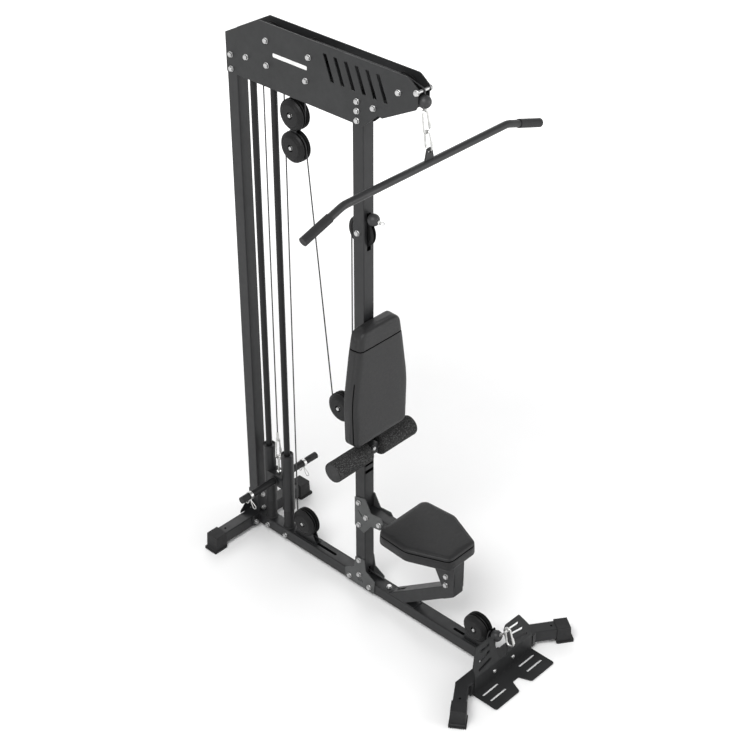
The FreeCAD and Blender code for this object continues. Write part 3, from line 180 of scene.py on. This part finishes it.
def powder_coat(name, colour, rough, grain=0.12, gloss=0.34):
    # baked powder paint: fine orange peel, faint cloudiness, and a painted highlight that makes it lighter
    # along the edges
    s = Shader(name)
    rounded = s.soft_edge(0.0012)
    cloud = s.ramp(s.noise(9.0, 4.0), [(0.3, scaled(colour, 0.86)), (0.7, scaled(colour, 1.14))])
    # painted highlight: the colour rises towards 2.4 times the coat's along the edges, broken up by noise
    edge_highlight_breakup = s.noise(60.0, 6.0, 0.65)
    painted_edge_highlight = s.edge_mask(rounded, 2.2)
    base = s.mix(s.calc("MULTIPLY", painted_edge_highlight, edge_highlight_breakup), cloud, grey(scaled(colour, 2.4)))
    roughness = s.ramp(s.noise(34.0, 5.0, 0.6), [(0.3, rough - 0.05), (0.7, rough + 0.07)])
    peel = s.bump(s.noise(1400.0, 2.0), grain, 0.0004, rounded)
    return s.set(Base_Color=base, Roughness=roughness, Normal=peel, Specular_IOR_Level=gloss)


def plated(name, colour, rough):
    # bright zinc: cloudy passivation over a finely pitted face
    s = Shader(name)
    rounded = s.soft_edge(0.0008)
    tint = s.ramp(s.noise(70.0, 4.0), [(0.3, scaled(colour, 0.82)), (0.7, scaled(colour, 1.08))])
    roughness = s.ramp(s.noise(220.0, 4.0, 0.6), [(0.3, rough - 0.06), (0.7, rough + 0.12)])
    pits = s.bump(s.noise(900.0), 0.10, 0.0003, rounded)
    return s.set(Base_Color=tint, Metallic=1.0, Roughness=roughness, Normal=pits)


def moulded(name, colour, rough, grain=0.15, scale=900.0, gloss=0.30):
    # moulded plastic or rubber: spark-eroded grain and a slight bloom
    s = Shader(name)
    rounded = s.soft_edge(0.0010)
    tint = s.ramp(s.noise(26.0, 5.0), [(0.3, scaled(colour, 0.80)), (0.7, scaled(colour, 1.22))])
    roughness = s.ramp(s.noise(120.0, 4.0, 0.6), [(0.3, rough - 0.05), (0.7, rough + 0.08)])
    skin = s.bump(s.noise(scale, 3.0, 0.6), grain, 0.0004, rounded)
    return s.set(Base_Color=tint, Roughness=roughness, Normal=skin, Specular_IOR_Level=gloss)


def coated_cloth(name, colour, rough, gloss, seams):
    # black upholstery vinyl: pebbled grain a millimetre or so across with painted shade in its crevices,
    # fine pores and stitched seams with painted shade along them
    s = Shader(name)
    pebble = s.cells(720.0, "DISTANCE_TO_EDGE")
    pores = s.noise(2600.0, 2.0)
    folds = s.noise(42.0, 3.0)
    tint = s.ramp(s.noise(7.0, 4.0), [(0.3, scaled(colour, 0.90)), (0.7, scaled(colour, 1.10))])
    # painted shade: the colour darkens towards the edges of the pebble cells, the crevices between the
    # pebbles
    painted_grain_shade = s.ramp(pebble, [(0.0, 0.62), (0.10, 1.0)])
    dark = s.node("ShaderNodeMix", data_type="RGBA", blend_type="MULTIPLY")
    dark.inputs["Factor"].default_value = 0.5
    s.link(tint, dark.inputs["A"])
    s.link(painted_grain_shade, dark.inputs["B"])
    roughness = s.ramp(s.noise(90.0, 4.0, 0.6), [(0.3, rough - 0.05), (0.7, rough + 0.06)])
    first = s.bump(s.ramp(pebble, [(0.0, 0.0), (0.12, 1.0)]), 0.16, 0.0004)
    second = s.bump(pores, 0.07, 0.0003, first)
    normal = s.bump(folds, 0.05, 0.004, second)
    base = dark.outputs["Result"]
    shine = gloss
    # painted shade along each seam: the colour falls to a tenth of the vinyl's and the shine goes, as in the
    # shaded crease
    for axis, at, top in seams:
        line = s.seam(axis, at, top)
        base = s.mix(line, grey(scaled(colour, 0.10)), base)
        normal = s.bump(line, 0.9, 0.0016, normal)
        shine = s.calc("MULTIPLY", line, shine)
    return s.set(Base_Color=base, Roughness=roughness, Normal=normal, Specular_IOR_Level=shine)


def foam_skin(name, colour, fleck):
    # closed-cell foam: open bubbles on the cut skin with painted shade in them, pale and dark flecks
    s = Shader(name)
    spots = s.noise(230.0, 5.0, 0.75)
    fine = s.noise(620.0, 3.0, 0.7)
    # painted shade: the low spots of the pit bump take a fifth of the foam's colour; the fine noise uses it
    # for dark specks too
    pit_shade_and_dark_speck = scaled(colour, 0.2)
    coarse = s.ramp(spots, [(0.42, pit_shade_and_dark_speck), (0.49, colour), (0.56, fleck), (0.66, scaled(fleck, 2.2))])
    mixed = s.mix(0.30, coarse, s.ramp(fine, [(0.44, pit_shade_and_dark_speck), (0.60, scaled(fleck, 1.8))]))
    pits = s.bump(spots, 0.9, 0.0022)
    holes = s.bump(s.cells(480.0), 0.45, 0.0010, pits)
    return s.set(Base_Color=mixed, Roughness=0.88, Normal=holes, Specular_IOR_Level=0.22)


def cable_jacket(name, colour):
    # plastic jacket drawn over a laid steel cable, so the strands show faintly
    s = Shader(name)
    wave = s.node("ShaderNodeTexWave", wave_type="BANDS", bands_direction="DIAGONAL")
    wave.inputs["Scale"].default_value = 90.0
    wave.inputs["Distortion"].default_value = 0.4
    s.link(s.coord, wave.inputs["Vector"])
    tint = s.ramp(s.noise(40.0, 4.0), [(0.3, scaled(colour, 0.8)), (0.7, scaled(colour, 1.3))])
    strands = s.bump(wave.outputs["Fac"], 0.12, 0.0004)
    return s.set(Base_Color=tint, Roughness=0.42, Normal=strands, Specular_IOR_Level=0.5)


FRAME_COAT = powder_coat("frame_coat_paint", (0.0105, 0.0108, 0.0115), 0.40)
HEADER_COAT = powder_coat("header_coat_paint", (0.0125, 0.0130, 0.0135), 0.46)
PLATE_COAT = powder_coat("plate_coat_paint", (0.0150, 0.0155, 0.0160), 0.50, 0.18, 0.24)
STAR_COAT = powder_coat("star_coat_paint", (0.052, 0.054, 0.054), 0.44, 0.22, 0.34)
ROD_COAT = powder_coat("rod_paint", (0.0085, 0.0085, 0.0090), 0.44, 0.05, 0.22)
BAR_COAT = powder_coat("bar_paint", (0.014, 0.0143, 0.015), 0.40, 0.10)
ZINC = plated("zinc_plate", (0.50, 0.50, 0.50), 0.28)
BRIGHT = plated("bright_link", (0.62, 0.62, 0.61), 0.28)
RUBBER = moulded("black_rubber", (0.012, 0.012, 0.0125), 0.62, 0.20)
GRIP = moulded("grip_rubber", (0.010, 0.010, 0.0105), 0.55, 0.22, 1500.0)
BALL = moulded("ball_rubber", (0.024, 0.024, 0.025), 0.42, 0.10)
PULLEY = moulded("pulley_plastic_grain", (0.0050, 0.0050, 0.0052), 0.40, 0.10, 1400.0, 0.20)
COVER = moulded("cover_plastic_grain", (0.0055, 0.0055, 0.0058), 0.42, 0.12, 1400.0, 0.20)
BUSH = moulded("bush_plastic", (0.030, 0.030, 0.031), 0.5, 0.10)
FOAM = foam_skin("foam_skin", (0.0060, 0.0060, 0.0060), (0.050, 0.050, 0.050))
FOAM_END = moulded("foam_end_disc", (0.019, 0.019, 0.0195), 0.60, 0.15, 700.0)
JACKET = cable_jacket("cable_jacket_skin", (0.014, 0.014, 0.015))
LABEL = moulded("label_print", (0.62, 0.62, 0.61), 0.45, 0.05)

FINISH = {
    "header_plate_left": HEADER_COAT, "header_plate_right": HEADER_COAT,
    "foot_plate": PLATE_COAT, "upper_star_plates": STAR_COAT, "lower_star_plates": STAR_COAT,
    "seat_side_plates": FRAME_COAT, "guide_rods": ROD_COAT, "weight_horn": ROD_COAT,
    "low_rear_bracket": FRAME_COAT, "low_front_bracket": FRAME_COAT, "mid_lower_bracket": FRAME_COAT,
    "float_block_links": FRAME_COAT, "lat_bar": BAR_COAT, "lat_bar_tab": FRAME_COAT,
    "rear_foot_caps": RUBBER, "front_foot_caps": RUBBER, "rod_bumpers": RUBBER, "horn_caps": RUBBER,
    "lat_bar_grips": GRIP, "lat_ball_stop": BALL, "row_ball_stops": BALL,
    "lat_hooks": BRIGHT, "row_end_hooks": BRIGHT, "lift_hardware": BRIGHT,
    "spring_collar_left": BRIGHT, "spring_collar_right": BRIGHT,
    "fasteners": ZINC, "header_spacers": ZINC, "roller_tube": ZINC, "roller_bolt": ZINC,
    "pulley_covers": COVER, "sleeve_bushings": BUSH,
    "header_cable": JACKET, "row_cable": JACKET, "lift_cable": JACKET, "drop_cable": JACKET,
}
for name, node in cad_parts.items():
    finish = FINISH.get(name) or (PULLEY if name.endswith("pulley") else FRAME_COAT)
    node.data.materials.clear()
    node.data.materials.append(finish)


# ---- mesh helpers -----------------------------------------------------------------------------
def new_object(name, verts, faces, material, smooth=True):
    mesh = bpy.data.meshes.new(name)
    mesh.from_pydata([tuple(v) for v in verts], [], faces)
    mesh.validate()
    bm = bmesh.new()
    bm.from_mesh(mesh)
    bmesh.ops.remove_doubles(bm, verts=bm.verts, dist=1e-6)
    bmesh.ops.recalc_face_normals(bm, faces=bm.faces)
    bm.to_mesh(mesh)
    bm.free()
    mesh.polygons.foreach_set("use_smooth", [smooth] * len(mesh.polygons))
    mesh.materials.append(material)
    obj = bpy.data.objects.new(name, mesh)
    scene.collection.objects.link(obj)
    return obj


def rounded_outline(corners, radii, spacing):
    # points evenly spaced along straight sides and corner arcs, anticlockwise
    path = []
    count = len(corners)
    for i, (corner, radius) in enumerate(zip(corners, radii)):
        corner = Vector(corner)
        back = (Vector(corners[i - 1]) - corner).normalized()
        ahead = (Vector(corners[(i + 1) % count]) - corner).normalized()
        half = back.angle(ahead) / 2
        reach = radius / math.tan(half)
        centre = corner + (back + ahead).normalized() * radius / math.sin(half)
        start, end = corner + back * reach, corner + ahead * reach
        for k in range(13):
            spot = start.lerp(end, k / 12) - centre
            path.append(centre + spot.normalized() * radius)
    closed = path + [path[0]]
    lengths = [0.0]
    for a, b in zip(closed, closed[1:]):
        lengths.append(lengths[-1] + (b - a).length)
    total = int(round(lengths[-1] / spacing))
    points = []
    j = 0
    for k in range(total):
        want = lengths[-1] * k / total
        while lengths[j + 1] < want:
            j += 1
        t = (want - lengths[j]) / max(lengths[j + 1] - lengths[j], 1e-9)
        points.append(closed[j].lerp(closed[j + 1], t))
    return points


def outward(points):
    # unit normals of an anticlockwise outline
    count = len(points)
    normals = []
    for i in range(count):
        run = points[(i + 1) % count] - points[i - 1]
        normals.append(Vector((run.y, -run.x)).normalized())
    return normals


def grown(points, distance):
    return [p + n * distance for p, n in zip(points, outward(points))]


def pad_shell(name, points, profile, crown, lift, place, material):
    # a closed pad: a ring along the outline at each (inset, height) of the profile, then a crowned top
    normals = outward(points)
    count = len(points)
    verts = []
    rings = 0
    for inset, height in profile:
        verts += [place(p - n * inset, height) for p, n in zip(points, normals)]
        rings += 1
    inset, height = profile[-1]
    rim = [p - n * inset for p, n in zip(points, normals)]
    middle = sum(rim, Vector((0, 0))) / count
    steps = 14
    for k in range(1, steps):
        t = 1 - k / steps
        verts += [place(middle + (p - middle) * t, height + crown * (1 - t ** lift)) for p in rim]
        rings += 1
    faces = []
    for r in range(rings - 1):
        for i in range(count):
            j = (i + 1) % count
            faces.append((r * count + i, r * count + j, (r + 1) * count + j, (r + 1) * count + i))
    top = len(verts)
    verts.append(place(middle, height + crown))
    last = (rings - 1) * count
    faces += [(last + i, last + (i + 1) % count, top) for i in range(count)]
    bottom = len(verts)
    verts.append(place(middle, profile[0][1]))
    faces += [((i + 1) % count, i, bottom) for i in range(count)]
    return new_object(name, verts, faces, material)


def apply_modifiers(obj):
    bpy.context.view_layer.update()
    graph = bpy.context.evaluated_depsgraph_get()
    mesh = bpy.data.meshes.new_from_object(obj.evaluated_get(graph))
    old = obj.data
    obj.modifiers.clear()
    obj.data = mesh
    bpy.data.meshes.remove(old)
    mesh.polygons.foreach_set("use_smooth", [True] * len(mesh.polygons))


CLOTH_FRAMES = 20


def inflate(obj, voxel, pressure, cap, held):
    # foam pressing its cover out: a short cloth simulation, with each point's travel capped
    remesh = obj.modifiers.new("remesh", "REMESH")
    remesh.mode = "VOXEL"
    remesh.voxel_size = voxel
    apply_modifiers(obj)
    rest = [v.co.copy() for v in obj.data.vertices]
    pins = obj.vertex_groups.new(name="pins")
    pins.add([i for i, co in enumerate(rest) if held(co)], 1.0, "REPLACE")
    cloth = obj.modifiers.new("cloth", "CLOTH")
    cloth.settings.vertex_group_mass = "pins"
    cloth.settings.use_pressure = True
    cloth.settings.uniform_pressure_force = pressure
    cloth.settings.effector_weights.gravity = 0.0
    cloth.settings.tension_stiffness = 25.0
    cloth.settings.compression_stiffness = 25.0
    cloth.settings.bending_stiffness = 2.0
    cloth.settings.quality = 5
    cloth.point_cache.frame_start = 1
    cloth.point_cache.frame_end = CLOTH_FRAMES
    for f in range(1, CLOTH_FRAMES + 1):
        scene.frame_set(f)
    graph = bpy.context.evaluated_depsgraph_get()
    moved = [v.co.copy() for v in obj.evaluated_get(graph).data.vertices]
    obj.modifiers.clear()
    scene.frame_set(1)
    for vertex, start, end in zip(obj.data.vertices, rest, moved):
        step = end - start
        if step.length > cap:
            step *= cap / step.length
        vertex.co = start + step
    obj.vertex_groups.clear()
    relax = obj.modifiers.new("relax", "SMOOTH")
    relax.factor = 0.5
    relax.iterations = 2
    finer = obj.modifiers.new("finer", "SUBSURF")
    finer.levels = 1
    finer.render_levels = 1
    apply_modifiers(obj)


def press_seams(obj, depth_at):
    # sinks the surface along the seam lines; depth_at gives the depth at a point with its normal
    mesh = obj.data
    normals = [v.normal.copy() for v in mesh.vertices]
    for vertex, normal in zip(mesh.vertices, normals):
        depth = depth_at(vertex.co, normal)
        if depth:
            vertex.co = vertex.co - normal * depth
    mesh.update()


def groove(distance, depth):
    # a soft-sided dip of this depth along a line
    return depth * math.exp(-(distance / 0.0022) ** 2)


def edge_finder(points):
    # gives the distance in plan from a point to an outline
    fine = []
    for i, start in enumerate(points):
        end = points[(i + 1) % len(points)]
        fine += [start.lerp(end, k / 4) for k in range(4)]
    tree = kdtree.KDTree(len(fine))
    for i, point in enumerate(fine):
        tree.insert((point.x, point.y, 0.0), i)
    tree.balance()
    return lambda co: tree.find((co.x, co.y, 0.0))[2]


# ---- back pad -----------------------------------------------------------------------------------
PAD_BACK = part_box("back_pad")[1].y
SEAM_Z = 1.168                      # the seam between the head panel and the main panel
SIDE_SEAM_Y = PAD_BACK - 0.043      # the seam round the front panel's edge
PANEL_TOP_Z = 1.045                 # where the side seam starts
PAD_GROWTH = 0.0025                 # the soft cover bulges this far past its outline


def back_outline():
    half = [(0.132, 0.769), (0.138, 0.960), (0.112, 1.140), (0.094, 1.2365)]
    corners = half + [(-x, z) for x, z in reversed(half)]
    radii = [0.026, 0.600, 0.600, 0.030]
    points = rounded_outline(corners, radii + radii[::-1], 0.006)
    return grown(points, PAD_GROWTH)


def back_place(p, height):
    return Vector((p.x, PAD_BACK - height, p.y))


BACK_VINYL = coated_cloth("back_pad_cloth", (0.0115, 0.0115, 0.0120), 0.46, 0.34,
                          [("Z", SEAM_Z, ABOVE_ALL), ("Y", SIDE_SEAM_Y, PANEL_TOP_Z)])
back_profile = [(0.003, 0.0), (0.0, 0.003), (0.0, 0.012), (0.0, 0.022), (0.0, 0.032), (0.0, 0.0415),
                (0.0004, 0.0450), (0.0020, 0.0490), (0.0050, 0.0525), (0.0095, 0.0543), (0.015, 0.0548)]
back = pad_shell("back_cushion", back_outline(), back_profile, 0.0012, 3.0, back_place, BACK_VINYL)
inflate(back, 0.003, 4.0, 0.0012, lambda co: co.y > PAD_BACK - 0.006)


def back_depth(co, normal):
    # the seams under the head panel, down the sides and along the bottom edge
    depth = groove(co.z - SEAM_Z, 0.0030) if co.y < PAD_BACK - 0.004 else 0.0
    side = min(1.0, max(0.0, (abs(normal.x) - 0.45) * 4.0))
    low = min(1.0, max(0.0, (PANEL_TOP_Z - co.z) / 0.02))
    under = min(1.0, max(0.0, (-normal.z - 0.45) * 4.0))
    run = max(side * low, under)
    if run:
        depth = max(depth, run * groove(co.y - SIDE_SEAM_Y, 0.0028))
    return depth


press_seams(back, back_depth)
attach(back, "frame")
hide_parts("back_pad")

# ---- seat pad -------------------------------------------------------------------------------------
SEAT_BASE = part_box("seat_pad")[0].z
SEAT_SEAM_Z = SEAT_BASE + 0.0410    # the seam under the rolled top edge
SEAT_GROWTH = 0.0030


def seat_outline():
    half = [(0.070, -0.484), (0.135, -0.330), (0.127, -0.184)]
    corners = [(x, y + COLUMN_Y) for x, y in half + [(-x, y) for x, y in reversed(half)]]
    radii = [0.026, 0.060, 0.030]
    points = rounded_outline(corners, radii + radii[::-1], 0.006)
    return grown(points, SEAT_GROWTH)


def seat_place(p, height):
    return Vector((p.x, p.y, SEAT_BASE + height))


SEAT_VINYL = coated_cloth("seat_pad_cloth", (0.0102, 0.0102, 0.0107), 0.48, 0.31,
                          [("Z", SEAT_SEAM_Z, ABOVE_ALL)])
seat_profile = [(0.003, 0.0), (0.0, 0.003), (0.0, 0.014), (0.0, 0.026), (0.0, 0.036), (0.0, 0.0420),
                (0.0004, 0.0455), (0.0020, 0.0495), (0.0050, 0.0532), (0.0095, 0.0552), (0.015, 0.0557)]
seat = pad_shell("seat_cushion", seat_outline(), seat_profile, 0.0008, 3.0, seat_place, SEAT_VINYL)
inflate(seat, 0.003, 4.0, 0.0012, lambda co: co.z < SEAT_BASE + 0.008)
seat_edge = edge_finder(seat_outline())


def seat_depth(co, normal):
    # the seam below the rolled edge, and the dip just inside that roll on the top
    side = min(1.0, max(0.0, (0.95 - abs(normal.z)) * 4.0))
    depth = side * groove(co.z - SEAT_SEAM_Z, 0.0030) if co.z > SEAT_BASE + 0.02 else 0.0
    if normal.z > 0.7:
        depth += groove(seat_edge(co) - 0.0105, 0.0007)
    return depth


press_seams(seat, seat_depth)
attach(seat, "frame")
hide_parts("seat_pad")


# ---- foam rollers ---------------------------------------------------------------------------------
def foam_roller(side, name, body, node):
    low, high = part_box(node)
    inner = high.x if side < 0 else low.x
    outer = low.x if side < 0 else high.x
    cy, cz = (low.y + high.y) / 2, (low.z + high.z) / 2
    radius = (high.z - low.z) / 2
    length = abs(outer - inner)
    profile = [(0.0115, 0.0), (0.020, 0.0002), (radius - 0.006, 0.0), (radius - 0.002, 0.0012),
               (radius, 0.005)]
    body_steps = int(length / 0.003)
    profile += [(radius, 0.005 + (length - 0.010) * k / body_steps) for k in range(1, body_steps)]
    profile += [(radius, length - 0.005), (radius - 0.0012, length - 0.0016), (radius - 0.004, length),
                (radius - 0.0052, length - 0.0008), (radius - 0.0060, length - 0.0022),
                (radius - 0.0068, length - 0.0010), (radius - 0.010, length - 0.0008),
                (0.020, length - 0.0006), (0.006, length - 0.0005)]
    around = 128
    verts = []
    for r, along in profile:
        for k in range(around):
            turn = 2 * math.pi * k / around
            co = Vector((inner + side * along, cy + r * math.cos(turn), cz + r * math.sin(turn)))
            if r > radius - 0.003:
                rough = noise.noise(co * 260.0) * 0.0005 + noise.noise(co * 40.0) * 0.0004
                co += Vector((0, math.cos(turn), math.sin(turn))) * rough
            verts.append(co)
    faces = []
    for i in range(len(profile) - 1):
        for k in range(around):
            m = (k + 1) % around
            faces.append((i * around + k, i * around + m, (i + 1) * around + m, (i + 1) * around + k))
    faces.append(tuple(range(around)))
    faces.append(tuple((len(profile) - 1) * around + k for k in range(around)))
    roller = new_object(name, verts, faces, FOAM)
    roller.data.materials.append(FOAM_END)
    for face in roller.data.polygons:
        if side * (face.center.x - outer) > -0.0025 and (
                (face.center.y - cy) ** 2 + (face.center.z - cz) ** 2) < (radius - 0.0050) ** 2:
            face.material_index = 1
    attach(roller, body)
    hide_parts(node)


foam_roller(-1, "roller_foam_left", "foam_roller_left", "foam_roller_left")
foam_roller(1, "roller_foam_right", "foam_roller_right", "foam_roller_right")


# ---- cable runs that change length ------------------------------------------------------------------
def cable_run(name, node):
    # a straight run with rings only at its ends, so that it stays straight at any length
    low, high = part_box(node)
    cx, cy = (low.x + high.x) / 2, (low.y + high.y) / 2
    radius = (high.x - low.x) / 2
    around = 20
    verts = []
    for z in (low.z, high.z):
        for k in range(around):
            turn = 2 * math.pi * k / around
            verts.append((cx + radius * math.cos(turn), cy + radius * math.sin(turn), z))
    faces = [(k, (k + 1) % around, around + (k + 1) % around, around + k) for k in range(around)]
    faces += [tuple(range(around)), tuple(range(around, 2 * around))]
    run = new_object(name, verts, faces, JACKET)
    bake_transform(run)
    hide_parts(node)


cable_run("lift_cable_run", "lift_cable")
cable_run("drop_cable_run", "drop_cable")


# ---- a plain label on the header ----------------------------------------------------------------------
def header_label():
    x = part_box("header_plate_left")[0].x
    y0, y1 = COLUMN_Y + 0.225, COLUMN_Y + 0.385
    z0, z1 = 2.0925, 2.1065
    points = rounded_outline([(y0, z0), (y1, z0), (y1, z1), (y0, z1)], [0.004] * 4, 0.0015)
    count = len(points)
    verts = [(x - depth, p.x, p.y) for depth in (-0.0002, 0.0003) for p in points]
    faces = [(k, (k + 1) % count, count + (k + 1) % count, count + k) for k in range(count)]
    faces += [tuple(range(count)), tuple(range(count, 2 * count))]
    label = new_object("header_label", verts, faces, LABEL, smooth=False)
    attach(label, "frame")


header_label()


# ---- stage, light and camera ----------------------------------------------------------------------------
def paper():
    # pale paper; away from the object it glows a little, so that it stays white to the horizon
    s = Shader("floor_paper")
    tint = s.ramp(s.noise(1.5, 3.0), [(0.3, 0.85), (0.7, 0.87)])
    grain = s.bump(s.noise(400.0, 2.0), 0.02, 0.001)
    far = s.node("ShaderNodeVectorMath", operation="LENGTH")
    s.link(s.coord, far.inputs[0])
    glow = s.node("ShaderNodeMapRange", interpolation_type="SMOOTHSTEP")
    glow.inputs["From Min"].default_value = 0.6
    glow.inputs["From Max"].default_value = 5.0
    glow.inputs["To Max"].default_value = 0.55
    s.link(far.outputs["Value"], glow.inputs["Value"])
    return s.set(Base_Color=tint, Roughness=0.75, Normal=grain, Emission_Color=grey(1.0),
                 Emission_Strength=glow.outputs["Result"])


def stage_floor():
    half = 30.0
    corners = [(-half, -half, 0), (half, -half, 0), (half, half, 0), (-half, half, 0)]
    new_object("stage_floor", corners, [(0, 1, 2, 3)], paper(), smooth=False)


def studio_sky():
    # a white dome, greyer overhead
    world = bpy.data.worlds.new("studio")
    scene.world = world
    world.use_nodes = True
    nodes = world.node_tree.nodes
    link = world.node_tree.links.new
    split = nodes.new("ShaderNodeSeparateXYZ")
    ramp = nodes.new("ShaderNodeValToRGB")
    low, high = ramp.color_ramp.elements
    low.position, low.color = 0.20, grey(1.0)
    high.position, high.color = 0.90, grey(0.46)
    link(nodes.new("ShaderNodeTexCoord").outputs["Generated"], split.inputs["Vector"])
    link(split.outputs["Z"], ramp.inputs["Fac"])
    link(ramp.outputs["Color"], nodes["Background"].inputs["Color"])
    nodes["Background"].inputs["Strength"].default_value = 1.0


def area_light(name, place, target, size, power):
    data = bpy.data.lights.new(name, "AREA")
    data.shape = "RECTANGLE"
    data.size, data.size_y = size
    data.energy = power
    light = bpy.data.objects.new(name, data)
    scene.collection.objects.link(light)
    light.location = place
    aim = Vector(target) - Vector(place)
    light.rotation_euler = aim.to_track_quat("-Z", "Y").to_euler()


stage_floor()
studio_sky()
area_light("key", (-3.2, -1.2, 5.2), (0, 0, 1.0), (3.0, 3.0), 250.0)
area_light("rim", (2.6, 3.6, 3.8), (0, 0, 1.2), (2.4, 2.4), 45.0)
area_light("front", (2.4, -4.4, 2.4), (0, 0, 0.9), (2.6, 2.6), 70.0)

camera_data = bpy.data.cameras.new("camera")
camera_data.sensor_width = 36.0
camera_data.lens = 80.52
camera_data.clip_end = 100.0
camera = bpy.data.objects.new("camera", camera_data)
scene.collection.objects.link(camera)
EYE = Vector((-3.5659, -3.32555, 4.3273))
TARGET = Vector((0.0189, 0.05265, 0.9957))
camera.location = EYE
camera.rotation_euler = (TARGET - EYE).to_track_quat("-Z", "Y").to_euler()
scene.camera = camera
